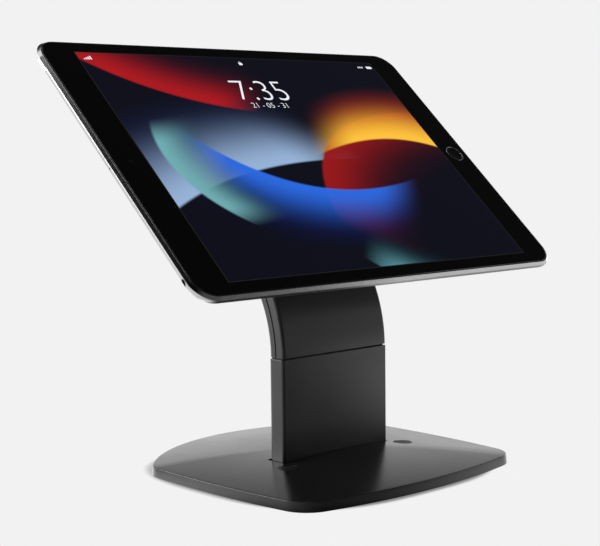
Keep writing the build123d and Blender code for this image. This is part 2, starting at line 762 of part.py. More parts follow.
# Side buttons: each has a stem through the wall, a flange behind it and a switch to press
power_button_y = half_height - power_button_inset
side_places = {"power_button": Pos(-half_length, power_button_y, side_button_z) * Rot(0, 0, 90)}
for name, inset in zip(("volume_up_button", "volume_down_button"), volume_button_insets):
    side_places[name] = Pos(inset - half_length, half_height, side_button_z)
switches = Part()
for name, place in side_places.items():
    stem_face = Plane.XZ * SlotOverall(side_button_length, side_button_height)
    slot_face = Plane.XZ * SlotOverall(side_button_length + 2 * button_gap,
                                       side_button_height + 2 * button_gap)
    housing -= place * extrude(slot_face, ledge_inset + past, both=True)
    stem = Pos(0, side_button_proud, 0) * extrude(stem_face, ledge_inset + side_button_proud)
    stem = chamfer(stem.faces().sort_by(Axis.Y)[-1].edges(), side_button_edge)
    flange = Pos(0, -ledge_inset - side_flange / 2, 0) * Box(
        side_button_length + 2 * side_flange, side_flange, side_button_height + side_flange)
    parts[name] = head_place * place * (stem + flange)
    switch_face = -ledge_inset - side_flange - side_button_travel - switch_gap
    switch_level = housing_floor - side_button_z
    switch = Pos(0, switch_face - switch_depth / 2, 0) * Box(
        switch_length, switch_depth, side_button_height / 2 - switch_level,
        align=(Align.CENTER, Align.CENTER, Align.MAX))
    switches += place * Pos(0, 0, side_button_height / 2) * switch
parts["switch_blocks"] = head_place * switches

# Home button at the right end: a metal ring in the glass, a dished cap and its dome switch
ring_low = -glass_thickness - home_ring_step
home_place = Pos(half_length - home_button_inset, 0, 0)
home_ring = rod(home_ring_radius, ring_low, 0) - rod(home_ring_bore, ring_low, 0)
parts["home_button_ring"] = head_place * home_place * home_ring
home_button = rod(home_button_radius, ring_low, -home_button_sink)
dish = Pos(0, 0, -home_button_sink + home_dish_radius - home_dish_depth) * Sphere(home_dish_radius)
home_button -= dish
home_button += rod(home_flange_radius, ring_low - home_flange_thickness, ring_low)
parts["home_button"] = head_place * home_place * home_button
dome_top = ring_low - home_flange_thickness - home_travel - home_dome_gap
home_module = Pos(0, 0, dome_top - home_dome_height) * Box(
    home_module_size, home_module_size, dome_top - home_dome_height - housing_floor,
    align=(Align.CENTER, Align.CENTER, Align.MAX))
home_module += rod(home_dome_radius, dome_top - home_dome_height, dome_top)
parts["home_button_module"] = head_place * home_place * home_module

# Cover glass and the display bonded behind it
glass = rounded_block(glass_length, glass_height, glass_corner, -glass_thickness, 0)
glass = fillet(glass.faces().sort_by(Axis.Z)[-1].edges(), glass_edge)
glass -= home_place * rod(home_ring_radius + home_ring_gap, -glass_thickness, glass_edge)
parts["cover_glass"] = head_place * glass
display_back = -glass_thickness - display_thickness
display = rounded_block(display_length, display_height, display_corner, display_back, -glass_thickness)
parts["display_panel"] = head_place * display

# Two battery cells side by side, and the logic board with two shield cans
cells = Part()
for side in (-1, 1):
    cell = rounded_block(battery_length, battery_height, battery_corner,
                         housing_floor, housing_floor + battery_thickness)
    cells += Pos(side * (battery_length + battery_gap) / 2, 0, 0) * cell
parts["battery_pack"] = head_place * cells
board_front = board_back + board_thickness
board = rounded_block(board_length, board_height, board_corner, board_back, board_front)
for side in (-1, 1):
    can = rounded_block(can_length, can_height, board_corner, board_front, board_front + can_thickness)
    board += Pos(0, side * can_spacing / 2, 0) * can
parts["logic_board"] = head_place * Pos(board_x, 0, 0) * board

# Headphone jack and microphone in the left edge
inner_wall = half_length - ledge_inset
jack_place = Pos(0, jack_inset - half_height, jack_z)
housing -= jack_place * cross_rod(jack_radius + hole_gap, -tablet_length, -inner_wall)
jack = cross_rod(jack_body_radius, -inner_wall, -inner_wall + jack_depth)
jack -= cross_rod(jack_radius, -inner_wall - past, -inner_wall + jack_depth - back_wall)
parts["headphone_jack"] = head_place * jack_place * jack
mic_place = Pos(0, mic_y, side_button_z)
housing -= mic_place * cross_rod(mic_radius, -tablet_length, -inner_wall)
microphone = Pos(-inner_wall, mic_y, 0) * Box(
    mic_body, mic_body, mic_body, align=(Align.MIN, Align.CENTER, Align.CENTER))
parts["microphone"] = head_place * Pos(0, 0, side_button_z) * microphone

# Charge port and the two speakers at the right edge
port_face = Plane.YZ * SlotOverall(port_length + 2 * port_wall, port_height + 2 * port_wall)
port_way = Plane.YZ * SlotOverall(port_length, port_height)
port_outside = Pos(half_length, 0, port_z) * extrude(port_face, port_depth, both=True)
port_inside = Pos(half_length + port_wall, 0, port_z) * extrude(port_way, port_depth, both=True)
parts["charge_port"] = head_place * ((port_outside - port_inside) & housing_outside)
housing -= port_outside
speakers = Part()
for side in (-1, 1):
    speaker = Pos(inner_wall, side * speaker_y, housing_floor) * Box(
        speaker_depth, speaker_length, speaker_height, align=(Align.MAX, Align.CENTER, Align.MIN))
    speakers += speaker
    for step in range(speaker_holes):
        y = side * speaker_y + (step - (speaker_holes - 1) / 2) * speaker_pitch
        housing -= Pos(0, y, speaker_z) * cross_rod(speaker_hole_radius, inner_wall, tablet_length)
parts["speaker_modules"] = head_place * speakers

# Cameras: one behind the glass, one in the housing's back
front_camera = Pos(front_camera_inset - half_length, 0, -glass_thickness) * Box(
    front_camera_size, front_camera_size, front_camera_depth,
    align=(Align.CENTER, Align.CENTER, Align.MAX))
parts["front_camera"] = head_place * front_camera
camera_place = Pos(rear_camera_end_inset - half_length, half_height - rear_camera_side_inset, 0)
housing -= camera_place * rod(rear_camera_radius + hole_gap, -tablet_thickness, housing_floor)
rear_camera = rod(rear_camera_radius, -tablet_thickness, housing_floor)
rear_camera += rod(rear_camera_radius + rear_camera_step, housing_floor, housing_floor + rear_camera_depth)
parts["rear_camera"] = head_place * camera_place * rear_camera
parts["tablet_housing"] = head_place * housing

for name, shape in parts.items():
    export_step(shape, f"parts/{name}.step")
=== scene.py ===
# %% [markdown]
# # A counter stand with its tablet
# The stand is black powder-coated metal: a weighted base, a flat column and an arm that bends
# back to a hinge. A slim silver tablet is taped to the hinge's plate. The sizes and the moving
# joints are already settled, so the first step loads them as a fixed frame, and every later
# step dresses that frame.

# %% Load the fixed frame
import json
import math
import bmesh
import bpy
from mathutils import Matrix, Vector


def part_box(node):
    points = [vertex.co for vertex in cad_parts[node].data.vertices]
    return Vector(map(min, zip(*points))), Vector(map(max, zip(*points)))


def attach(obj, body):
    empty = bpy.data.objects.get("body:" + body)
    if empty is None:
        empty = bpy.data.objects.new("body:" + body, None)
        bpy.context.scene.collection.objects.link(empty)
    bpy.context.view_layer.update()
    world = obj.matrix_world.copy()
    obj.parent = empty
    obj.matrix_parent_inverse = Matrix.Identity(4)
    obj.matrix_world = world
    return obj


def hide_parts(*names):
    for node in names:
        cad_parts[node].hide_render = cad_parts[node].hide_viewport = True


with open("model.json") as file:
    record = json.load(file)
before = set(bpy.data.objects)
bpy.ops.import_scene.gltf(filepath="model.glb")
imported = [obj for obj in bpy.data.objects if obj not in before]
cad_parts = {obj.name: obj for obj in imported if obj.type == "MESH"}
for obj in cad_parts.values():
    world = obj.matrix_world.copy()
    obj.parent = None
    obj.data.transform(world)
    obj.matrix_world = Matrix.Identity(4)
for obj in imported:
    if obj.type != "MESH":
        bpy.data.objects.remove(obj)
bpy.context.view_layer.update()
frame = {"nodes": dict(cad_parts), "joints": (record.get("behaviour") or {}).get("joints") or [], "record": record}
nodes = frame["nodes"]
joints = {joint["name"]: joint for joint in frame["joints"]}
MM = 0.001
print("pieces in the frame:", len(nodes))
print("joints:", sorted(joints))

# %% [markdown]
# The tablet leans back, so it is easiest to model it lying flat, with its glass up and its
# middle at the origin, and to carry each finished piece to its slope at the end. The swivel
# joint gives the middle of the glass and the direction that it faces, which is all that the
# carrying matrix needs. Every such matrix is a product of moves and turns.

# %% Where the glass sits
def at(x, y, z):
    """A move to a point in millimetres."""
    return Matrix.Translation(Vector((x, y, z)) * MM)


def turned(degrees, axis):
    """A turn about one axis."""
    return Matrix.Rotation(math.radians(degrees), 4, axis)


glass_centre = Vector(joints["swivel"]["pos_m"])
glass_normal = Vector(joints["swivel"]["axis"])
screen_slope = math.atan2(-glass_normal.y, glass_normal.z)
tablet_place = Matrix.Translation(glass_centre) @ Matrix.Rotation(screen_slope, 4, "X")
print("screen slope in degrees:", round(math.degrees(screen_slope), 1))

# %% [markdown]
# The camera comes early, because it decides which surfaces matter most. The photograph was
# taken from the left and slightly above the counter, with a long lens. Its place was worked
# out from the corners of the glass, and the tiny roll is the tilt of the camera that took it.

# %% Camera at the photograph's view
camera_place = (-508.7, -530.9, 171.0)
azimuth, elevation, roll = -43.1, 5.41, -0.65
bpy.ops.object.camera_add()
camera = bpy.context.object
camera.name = "photo_camera"
camera.matrix_world = (at(*camera_place) @ turned(azimuth, "Z") @ turned(90 - elevation, "X")
                       @ turned(roll, "Z"))
camera.data.lens, camera.data.sensor_width = 85.71, 36.0
camera.data.clip_start = 0.01
bpy.context.scene.camera = camera
print("camera distance in mm:", round((Vector(camera_place) - glass_centre / MM).length))

# %% [markdown]
# A shader is a graph of nodes. These helpers keep the graphs readable: the first two feed a
# node its values and add one of any kind, five more add the commonest ones, and the last two
# start a material.

# %% Helpers that build node graphs
def feed(node, inputs):
    """Sets a node's inputs by name or number, or links those that other nodes make."""
    for key, value in inputs.items():
        if isinstance(value, bpy.types.NodeSocket):
            node.id_data.links.new(value, node.inputs[key])
        else:
            node.inputs[key].default_value = value


def put(tree, kind, inputs=None, **settings):
    """Adds a node, sets its settings and feeds it."""
    node = tree.nodes.new(kind)
    for key, value in settings.items():
        setattr(node, key, value)
    feed(node, inputs or {})
    return node


def maths(tree, operation, a, b=0.0):
    """One Math node's result."""
    return put(tree, "ShaderNodeMath", {0: a, 1: b}, operation=operation).outputs[0]


def along(tree, point, direction):
    """How far a point lies along a direction."""
    return put(tree, "ShaderNodeVectorMath", {0: point, 1: direction},
               operation="DOT_PRODUCT").outputs["Value"]


def blend_colours(tree, factor, a, b):
    """Mixes two colours."""
    return put(tree, "ShaderNodeMix", {0: factor, 6: a, 7: b}, data_type="RGBA").outputs[2]


def blend_values(tree, factor, a, b):
    """Mixes two values."""
    return put(tree, "ShaderNodeMix", {0: factor, 2: a, 3: b}, data_type="FLOAT").outputs[0]


def ramp(tree, value, low, high, to_low=0.0, to_high=1.0, smooth=True):
    """Maps a value from one range to another."""
    kind = "SMOOTHSTEP" if smooth else "LINEAR"
    return put(tree, "ShaderNodeMapRange",
               {"Value": value, "From Min": low, "From Max": high, "To Min": to_low,
                "To Max": to_high}, interpolation_type=kind).outputs[0]


def new_material(name, **values):
    """A material with only its main shader, whose plain values are set here."""
    material = bpy.data.materials.new(name)
    material.use_nodes = True
    tree = material.node_tree
    shader = tree.nodes["Principled BSDF"]
    feed(shader, {key.replace("_", " "): value for key, value in values.items()})
    return material, tree, shader


def object_point(tree):
    """The point being shaded, in the object's own metres."""
    return put(tree, "ShaderNodeTexCoord").outputs["Object"]


# %% [markdown]
# Nothing real is one flat colour. Powder coat has a fine orange peel, blasted metal a finer
# grain, and every surface varies in gloss from patch to patch. These are one effect at
# different sizes, so it is one shader group: a fine noise gives the height, and a broad one
# the patches.

# %% The grain group
number, vector = "NodeSocketFloat", "NodeSocketVector"


def new_group(name, inputs, outputs):
    """A shader group with named sockets, its incoming values and its last node."""
    group = bpy.data.node_groups.new(name, "ShaderNodeTree")
    for label, kind in inputs.items():
        group.interface.new_socket(name=label, in_out="INPUT", socket_type=kind)
    for label in outputs:
        group.interface.new_socket(name=label, in_out="OUTPUT", socket_type=number)
    given = group.nodes.new("NodeGroupInput").outputs
    return group, given, group.nodes.new("NodeGroupOutput")


def noise(tree, point, size, detail, roughness):
    """A noise with lumps of one size."""
    return put(tree, "ShaderNodeTexNoise",
               {"Vector": point, "Scale": maths(tree, "DIVIDE", 1.0, size),
                "Detail": detail, "Roughness": roughness}).outputs[0]


grain_group, given, made = new_group(
    "fine_grain", {"Point": vector, "Grain Size": number, "Patch Size": number},
    ["Height", "Patches"])
tree = grain_group
fine = noise(tree, given["Point"], given["Grain Size"], 2.0, 0.6)
broad = noise(tree, given["Point"], given["Patch Size"], 3.0, 0.55)
feed(made, {"Height": fine, "Patches": ramp(tree, broad, 0.35, 0.65, smooth=False)})
print("group made:", grain_group.name)

# %% [markdown]
# Most finishes on this object are that grain with other colours, gloss and sizes, so one
# function turns the group into a material, and each finish is a row of values. The patches
# move both the colour and the roughness. The grain goes to a bump, which on the coats is only
# a few thousandths of a millimetre deep. Lathe-turned pieces stretch the grain into rings:
# their point keeps its place along the axis and is squeezed round it.

# %% Grained materials
def add_grain(tree, point, grain, patch):
    """The grain group's two results, for sizes in millimetres."""
    sizes = {"Point": point, "Grain Size": grain * MM, "Patch Size": patch * MM}
    outputs = put(tree, "ShaderNodeGroup", sizes, node_tree=grain_group).outputs
    return outputs["Height"], outputs["Patches"]


def grained(name, low, high, roughness, grain, patch, depth, rings=None, **values):
    """A finish whose colour and roughness vary between two values. Sizes are in mm."""
    material, tree, shader = new_material(name, **values)
    point = object_point(tree)
    if rings:
        point = put(tree, "ShaderNodeMapping", {"Vector": point, "Scale": rings}).outputs[0]
    height, share = add_grain(tree, point, grain, patch)
    bump = put(tree, "ShaderNodeBump", {"Height": height, "Strength": 1.0, "Distance": depth * MM})
    feed(shader, {"Base Color": blend_colours(tree, share, low, high),
                  "Roughness": ramp(tree, share, 0, 1, *roughness, smooth=False),
                  "Normal": bump.outputs[0]})
    return material


def grey(value, warmth=0.0):
    """A neutral colour, warmed or cooled a little."""
    return (value * (1 + warmth), value, value * (1 - warmth), 1.0)


turned_rings = {"Metallic": 1.0, "rings": (1.0, 0.05, 0.05)}
coat = (grey(0.0070), grey(0.0095))
rows = {
    "cover_black": ("powder_coat_cover", *coat, (0.24, 0.27), 0.35, 30, 0.004),
    "column_black": ("powder_coat_column", *coat, (0.29, 0.33), 0.35, 26, 0.004),
    "bracket_black": ("powder_coat_bracket", grey(0.018), grey(0.026), (0.42, 0.50),
                      0.4, 14, 0.006),
    "cap_black": ("moulded_black", grey(0.003), grey(0.005), (0.46, 0.54), 0.18, 6, 0.005),
    "ballast_iron": ("cast_iron", grey(0.10), grey(0.19, 0.03), (0.55, 0.8), 1.3, 18, 0.12),
    "pad_rubber": ("pad_rubber", grey(0.018), grey(0.034), (0.75, 0.92), 0.5, 12, 0.02),
    "screw_steel": ("zinc_screws", grey(0.24, 0.04), grey(0.36, -0.02), (0.28, 0.42),
                    0.12, 2, 0.003),
    "hinge_steel": ("turned_steel", grey(0.34, 0.02), grey(0.48), (0.25, 0.4), 0.25, 5, 0.004),
    "friction_ring": ("wear_ring", grey(0.46, 0.08), grey(0.56, 0.05), (0.45, 0.6),
                      0.3, 6, 0.005),
    "hub_aluminium": ("turned_aluminium", grey(0.50), grey(0.62), (0.3, 0.42), 0.3, 7, 0.004),
    "tape_foam": ("foam_tape", grey(0.03), grey(0.06), (0.85, 0.95), 0.6, 5, 0.1),
    "tablet_aluminium": ("blasted_aluminium", grey(0.44), grey(0.47), (0.31, 0.33),
                         0.12, 30, 0.0016),
    "home_cap": ("home_cap_gloss", grey(0.004), grey(0.008), (0.05, 0.10), 0.6, 4, 0.0004),
    "display_stack": ("display_edge", grey(0.04), (0.05, 0.06, 0.09, 1), (0.2, 0.4),
                      0.5, 20, 0.002),
    "tablet_inner": ("moulded_inner", grey(0.045), grey(0.07), (0.4, 0.6), 0.4, 8, 0.006),
    "board_green": ("solder_mask", (0.01, 0.06, 0.03, 1), (0.02, 0.10, 0.05, 1), (0.3, 0.5),
                    0.8, 4, 0.03),
    "camera_black": ("lens_black", grey(0.004), (0.008, 0.008, 0.014, 1), (0.06, 0.12),
                     0.3, 3, 0.0006),
}
others = {"cap_black": {"Specular_IOR_Level": 0.35}, "ballast_iron": {"Metallic": 0.8},
          "screw_steel": {"Metallic": 1.0}, "tablet_aluminium": {"Metallic": 1.0},
          "hinge_steel": turned_rings, "hub_aluminium": turned_rings}
finishes = {slot: grained(*row, **others.get(slot, {})) for slot, row in rows.items()}
print("finishes made:", len(finishes))

# %% [markdown]
# The narrow slope round the glass is polished, while the rest of the tablet's metal is
# blasted. One finish does both, so no seam shows: the depth of a point behind the glass says
# whether it lies on the slope, and there the roughness is halved.

# %% Polish the slope round the glass
slope_start, slope_full, slope_fading, slope_end = -1.65, -1.5, -0.21, -0.17
polish = 0.5
tree = finishes["tablet_aluminium"].node_tree
shader = tree.nodes["Principled BSDF"]
blasted = shader.inputs["Roughness"].links[0].from_socket
from_glass = put(tree, "ShaderNodeVectorMath", {0: object_point(tree), 1: glass_centre},
                 operation="SUBTRACT").outputs[0]
depth = along(tree, from_glass, glass_normal)
on_slope = maths(tree, "MULTIPLY", ramp(tree, depth, slope_start * MM, slope_full * MM),
                 ramp(tree, depth, slope_fading * MM, slope_end * MM, 1.0, 0.0))
kept = maths(tree, "SUBTRACT", 1.0, maths(tree, "MULTIPLY", on_slope, polish))
feed(shader, {"Roughness": maths(tree, "MULTIPLY", blasted, kept)})
print("polished between", slope_start, "and", slope_end, "mm from the glass")

# %% [markdown]
# The screen lies behind black glass, so the whole front is one polished sheet, and the lit
# picture is that sheet's own emission. Its wallpaper is a simple design of soft dunes: each
# has a crisp ridge on one side and fades into the dark on the other. One dune is a group,
# placed several times with other values. It reads a point that runs from -1 to 1 across the
# display.

# %% The dune group
dune_group, given, made = new_group(
    "dune", {"Point": vector, "Turn": number, "Offset": number, "Bend": number, "Width": number,
             "Ends": number, "Middle": number}, ["Mask", "Depth"])
tree = dune_group
turned_point = put(tree, "ShaderNodeVectorRotate",
                   {"Vector": given["Point"], "Angle": given["Turn"]}, rotation_type="Z_AXIS")
axes = put(tree, "ShaderNodeSeparateXYZ", {0: turned_point.outputs[0]}).outputs
sideways = maths(tree, "SUBTRACT", axes["X"], given["Middle"])
bow = maths(tree, "MULTIPLY", given["Bend"], maths(tree, "MULTIPLY", sideways, sideways))
line = maths(tree, "ADD", given["Offset"], bow)
depth = maths(tree, "SUBTRACT", axes["Y"], line)
crisp = ramp(tree, depth, -0.012, 0.012)
reach = maths(tree, "DIVIDE", depth, given["Width"])
fade = ramp(tree, reach, 0.0, 1.0, 1.0, 0.0)
aside = maths(tree, "DIVIDE", maths(tree, "ABSOLUTE", sideways), given["Ends"])
ends = ramp(tree, aside, 0.55, 1.0, 1.0, 0.0)
mask = maths(tree, "MULTIPLY", maths(tree, "MULTIPLY", crisp, fade), ends)
feed(made, {"Mask": mask, "Depth": reach})
print("group made:", dune_group.name)

# %% [markdown]
# The dunes are laid over a night blue one by one, each over those before it. A screen's
# colours are written from 0 to 255, so a helper turns them into the shader's linear ones. The
# point that the dunes read comes from the glass: moved to its middle, turned to its slope,
# and divided by half the display's size.

# %% The picture on the screen
def srgb(red, green, blue):
    """A colour as a screen writes it, from 0 to 255, made linear for the shader."""
    channels = [value / 255 for value in (red, green, blue)]
    return tuple(c / 12.92 if c <= 0.04045 else ((c + 0.055) / 1.055) ** 2.4
                 for c in channels) + (1.0,)


display_low, display_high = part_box("display_panel")
display_half_x = (display_high.x - display_low.x) / 2
display_half_y = 155.9 / 2 * MM
dune_values = ("Turn", "Offset", "Bend", "Width", "Ends", "Middle")
dunes = [
    ((-0.45, 0.10, -0.25, 0.80, 1.10, -0.75), srgb(150, 178, 214), srgb(40, 52, 96)),
    ((0.60, 0.16, 0.35, 0.55, 0.66, -0.98), srgb(172, 24, 30), srgb(74, 12, 30)),
    ((2.45, 0.02, 0.55, 0.70, 0.85, -0.35), srgb(150, 22, 24), srgb(70, 10, 22)),
    ((0.35, 0.42, -0.70, 0.62, 0.80, 0.80), srgb(255, 196, 60), srgb(196, 60, 32)),
    ((-2.75, 0.30, -0.60, 0.60, 0.75, 0.05), srgb(42, 104, 222), srgb(16, 28, 96)),
    ((1.35, -0.88, 0.60, 0.40, 0.50, -0.05), srgb(112, 172, 178), srgb(40, 78, 92)),
    ((0.55, -0.98, 0.40, 0.40, 0.60, 0.95), srgb(96, 160, 168), srgb(30, 60, 76)),
]

glass_material, tree, shader = new_material("lit_glass", Metallic=0.0, Emission_Strength=1.0,
                                            Base_Color=(0.0005, 0.0005, 0.0006, 1))
screen_point = put(tree, "ShaderNodeMapping",
                   {"Vector": object_point(tree), "Location": glass_centre,
                    "Rotation": (screen_slope, 0.0, 0.0),
                    "Scale": (display_half_x, display_half_y, 1.0)},
                   vector_type="TEXTURE").outputs[0]
picture = srgb(10, 11, 24)
for values, near_colour, far_colour in dunes:
    dune = put(tree, "ShaderNodeGroup", {"Point": screen_point, **dict(zip(dune_values, values))},
               node_tree=dune_group)
    tone = blend_colours(tree, ramp(tree, dune.outputs["Depth"], 0.0, 0.8), near_colour,
                         far_colour)
    picture = blend_colours(tree, dune.outputs["Mask"], picture, tone)
print("dunes on the screen:", len(dunes))

# %% [markdown]
# Two things bound the picture: the glass shows it only over the display, and a thin dark grey
# line frames it. Black glass is never quite clean, so the grain group's broad patches make
# its gloss vary like faint smudges.

# %% The lit glass
edge_line, edge_grey, glass_front = 0.006, srgb(30, 30, 30), -0.0007
place = put(tree, "ShaderNodeSeparateXYZ", {0: screen_point}).outputs
beyond = maths(tree, "MAXIMUM", *(maths(tree, "ABSOLUTE", place[axis]) for axis in "XY"))
front_side = maths(tree, "GREATER_THAN", place["Z"], glass_front)
on_display, on_line = (maths(tree, "MULTIPLY", maths(tree, "LESS_THAN", beyond, limit), front_side)
                       for limit in (1.0, 1.0 + edge_line))
framed = blend_colours(tree, on_line, (0.0, 0.0, 0.0, 1.0), edge_grey)
smudges = add_grain(tree, object_point(tree), 2, 35)[1]
feed(shader, {"Emission Color": blend_colours(tree, on_display, framed, picture),
              "Roughness": ramp(tree, smudges, 0, 1, 0.02, 0.05)})
finishes["tablet_glass"] = glass_material
print("line round the picture, as a share of its half size:", edge_line)

# %% [markdown]
# Each fixed piece has a slot name in the record, which says what it is made of. The slot
# picks the finish, and the piece's single material slot takes it.

# %% Dress the fixed pieces
slot_of = {part["node"]: part["material_slot"] for part in frame["record"]["subparts"]}
for name, node in nodes.items():
    node.data.materials.clear()
    node.data.materials.append(finishes[slot_of[name]])
print("fixed pieces dressed:", len(slot_of))

# %% [markdown]
# The frame's pieces are exact but bare, with edges as sharp as a drawing. A real edge is
# rounded by its coat, and that thin highlight is what the eye reads as metal. So the pieces
# that show most are modelled again by hand over the same sizes: a primitive is added at its
# place, and shaped in edit mode. An operator acts on all that is selected, so these helpers
# select first, by place or direction. Places are in millimetres.

# %% Helpers for adding and selecting
def only(piece):
    """Selects one object and nothing else."""
    bpy.ops.object.select_all(action="DESELECT")
    piece.select_set(True)
    bpy.context.view_layer.objects.active = piece


def settle(piece, place=None):
    """Moves an object's place, turn and size into its mesh, after one more move if it's given."""
    if place is not None:
        piece.matrix_world = place @ piece.matrix_world
    only(piece)
    bpy.ops.object.transform_apply(location=True, rotation=True, scale=True)


def start(name, add, scale=(1, 1, 1), location=(0, 0, 0), **values):
    """Adds a primitive with nothing else selected, and gives it its name, scale and place."""
    bpy.ops.object.select_all(action="DESELECT")
    add(**values)
    piece = bpy.context.object
    piece.name = name
    piece.scale = scale
    piece.location = Vector(location) * MM
    settle(piece)
    return piece


def add_box(name, low, high):
    """A cube primitive stretched between two corners."""
    low, high = Vector(low), Vector(high)
    return start(name, bpy.ops.mesh.primitive_cube_add, (high - low) * MM, (high + low) / 2,
                 size=1)


def add_block(name, half, near, far, low, high):
    """A box across the middle, between two depths behind the column's front."""
    return add_box(name, (-half, column_front + near, low), (half, column_front + far, high))


def add_rod(name, radius, low, high, x=0.0, y=0.0, sides=64):
    """An upright cylinder primitive between two levels."""
    return start(name, bpy.ops.mesh.primitive_cylinder_add, location=(x, y, (high + low) / 2),
                 vertices=sides, radius=radius * MM, depth=(high - low) * MM)


def edit_all(piece):
    """Opens a piece in edit mode with everything selected."""
    only(piece)
    bpy.ops.object.mode_set(mode="EDIT")
    bpy.ops.mesh.select_all(action="SELECT")


def stop_editing():
    bpy.ops.object.mode_set(mode="OBJECT")


def pick(piece, kind, test):
    """In edit mode, selects what passes a test on its middle and its direction."""
    edit_all(piece)
    bpy.ops.mesh.select_mode(type=kind[:-1].upper())
    bpy.ops.mesh.select_all(action="DESELECT")
    mesh = bmesh.from_edit_mesh(piece.data)
    for element in getattr(mesh, kind):
        if kind == "verts":
            middle, direction = element.co, element.normal
        elif kind == "edges":
            first, last = (vertex.co for vertex in element.verts)
            middle, direction = (first + last) / 2, (last - first).normalized()
        else:
            middle, direction = element.calc_center_median(), element.normal
        if test(middle / MM, direction):
            element.select_set(True)
    mesh.select_flush_mode()
    bmesh.update_edit_mesh(piece.data)


tolerance, mostly = 0.01, 0.9


def at_level(z):
    """A test for what lies at a height."""
    return lambda p, d: abs(p.z - z) < tolerance


def upright(p, d):
    """A test for edges that run up and down."""
    return abs(d.z) > mostly


def front_to_back(p, d):
    """A test for edges that run along Y."""
    return abs(d.y) > mostly


def facing_up(p, d):
    """A test for faces. The next one is its opposite."""
    return d.z > mostly


def facing_down(p, d):
    return d.z < -mostly


print("tests accept points within", tolerance, "mm")

# %% [markdown]
# The shaping itself takes few tools: extrude, inset, scale and move while editing, a bevel
# for edges, and a boolean for openings. After a spin or a merge the faces may point inwards,
# so one helper turns them out. Another finishes every piece: weighted normals keep its flat
# faces looking flat beside round edges.

# %% Helpers for shaping and finishing
def draw_out(x=0.0, y=0.0, z=0.0):
    """Extrudes what is selected."""
    move = Vector((x, y, z)) * MM
    bpy.ops.mesh.extrude_region_move(TRANSFORM_OT_translate={"value": move})


def inset(width, rise=0.0):
    bpy.ops.mesh.inset(thickness=width * MM, depth=rise * MM)


def lift(z):
    bpy.ops.transform.translate(value=(0, 0, z * MM))


def stretch(x, y, z):
    """Scales what is selected about the origin."""
    bpy.ops.transform.resize(value=(x, y, z), center_override=(0, 0, 0))


def round_edges(piece, test, radius, steps):
    """Bevels the edges that pass a test."""
    pick(piece, "edges", test)
    bpy.ops.mesh.bevel(offset=radius * MM, segments=steps, affect="EDGES", clamp_overlap=True)
    stop_editing()


def carve(piece, cutter, place=None, operation="DIFFERENCE"):
    """Cuts one shape from another at a place, or joins them, and deletes the cutter."""
    settle(cutter, place)
    only(piece)
    modifier = piece.modifiers.new("cut", "BOOLEAN")
    modifier.operation = operation
    modifier.solver = "EXACT"
    modifier.object = cutter
    bpy.ops.object.modifier_apply(modifier=modifier.name)
    bpy.data.objects.remove(cutter)


def face_out(piece, join_within=0.001):
    """Merges doubled points and turns every face outwards."""
    edit_all(piece)
    bpy.ops.mesh.remove_doubles(threshold=join_within * MM)
    bpy.ops.mesh.normals_make_consistent(inside=False)
    stop_editing()


def finish_piece(piece, body, slot, node, place=None):
    """Settles and smooths a piece, gives it its finish, and ties it to its body."""
    settle(piece, place)
    bpy.ops.object.shade_smooth_by_angle(angle=math.radians(35))
    weighted = piece.modifiers.new("even_shading", "WEIGHTED_NORMAL")
    weighted.keep_sharp = True
    bpy.ops.object.modifier_apply(modifier=weighted.name)
    piece.data.materials.clear()
    piece.data.materials.append(finishes[slot])
    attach(piece, body)
    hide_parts(node)
    print(piece.name, "faces:", len(piece.data.polygons))


def copy_piece(piece, name, place):
    """A copy with its own mesh, carried by a matrix."""
    twin = piece.copy()
    twin.data = piece.data.copy()
    twin.name = name
    bpy.context.collection.objects.link(twin)
    settle(twin, place)
    return twin


print("shaping and finishing: ready")

# %% [markdown]
# The base is a thin shell with a domed top. Its outline is four shallow arcs with rounded
# corners, which no primitive has, so a circle is the start: every point of it is pushed along
# its own ray until it meets the outline. The reach of a ray is the nearest of the arcs, or
# the corner's own small arc where that comes first. The left half mirrors the right one.

# %% The base's outline
half_width, front, rear = 79.5, 78.0, 78.0
front_arc, side_arc, rear_arc = 300.0, 520.0, 100.0
arcs = {"front": (Vector((0, front_arc - front)), front_arc),
        "side": (Vector((half_width - side_arc, 0)), side_arc),
        "rear": (Vector((0, rear - rear_arc)), rear_arc)}


def ray_reach(centre, radius, angle):
    """How far a ray from the origin goes until it leaves a circle."""
    ahead = centre.dot(Vector((math.cos(angle), math.sin(angle))))
    return ahead + math.sqrt(max(0.0, ahead**2 - centre.length_squared + radius**2))


def corner_arc(end, radius):
    """A corner's centre, the two angles between which a ray meets it, and its radius."""
    (a, ra), (b, rb) = arcs[end], arcs["side"]
    ra, rb = ra - radius, rb - radius
    apart = b - a
    ahead = (apart.length_squared + ra**2 - rb**2) / (2 * apart.length)
    off = math.sqrt(ra**2 - ahead**2)
    aside = Vector((-apart.y, apart.x)).normalized() * off
    spots = [a + apart.normalized() * ahead + sign * aside for sign in (1, -1)]
    wanted = -1 if end == "front" else 1
    centre = next(spot for spot in spots if spot.y * wanted > 0)
    meets = [m + (centre - m).normalized() * (r + radius) for m, r in ((a, ra), (b, rb))]
    return centre, sorted(math.atan2(meet.y, meet.x) for meet in meets), radius


corner_arcs = [corner_arc("front", 16.0), corner_arc("rear", 14.0)]


def rim_reach(angle):
    """How far the base's outline lies from the middle."""
    angle = math.atan2(math.sin(angle), abs(math.cos(angle)))
    for centre, (low, high), radius in corner_arcs:
        if low < angle < high:
            return ray_reach(centre, radius, angle)
    return min(ray_reach(centre, radius, angle) for centre, radius in arcs.values())


print("rim reach to the right and the front:", round(rim_reach(0), 1),
      round(rim_reach(-math.pi / 2), 1))

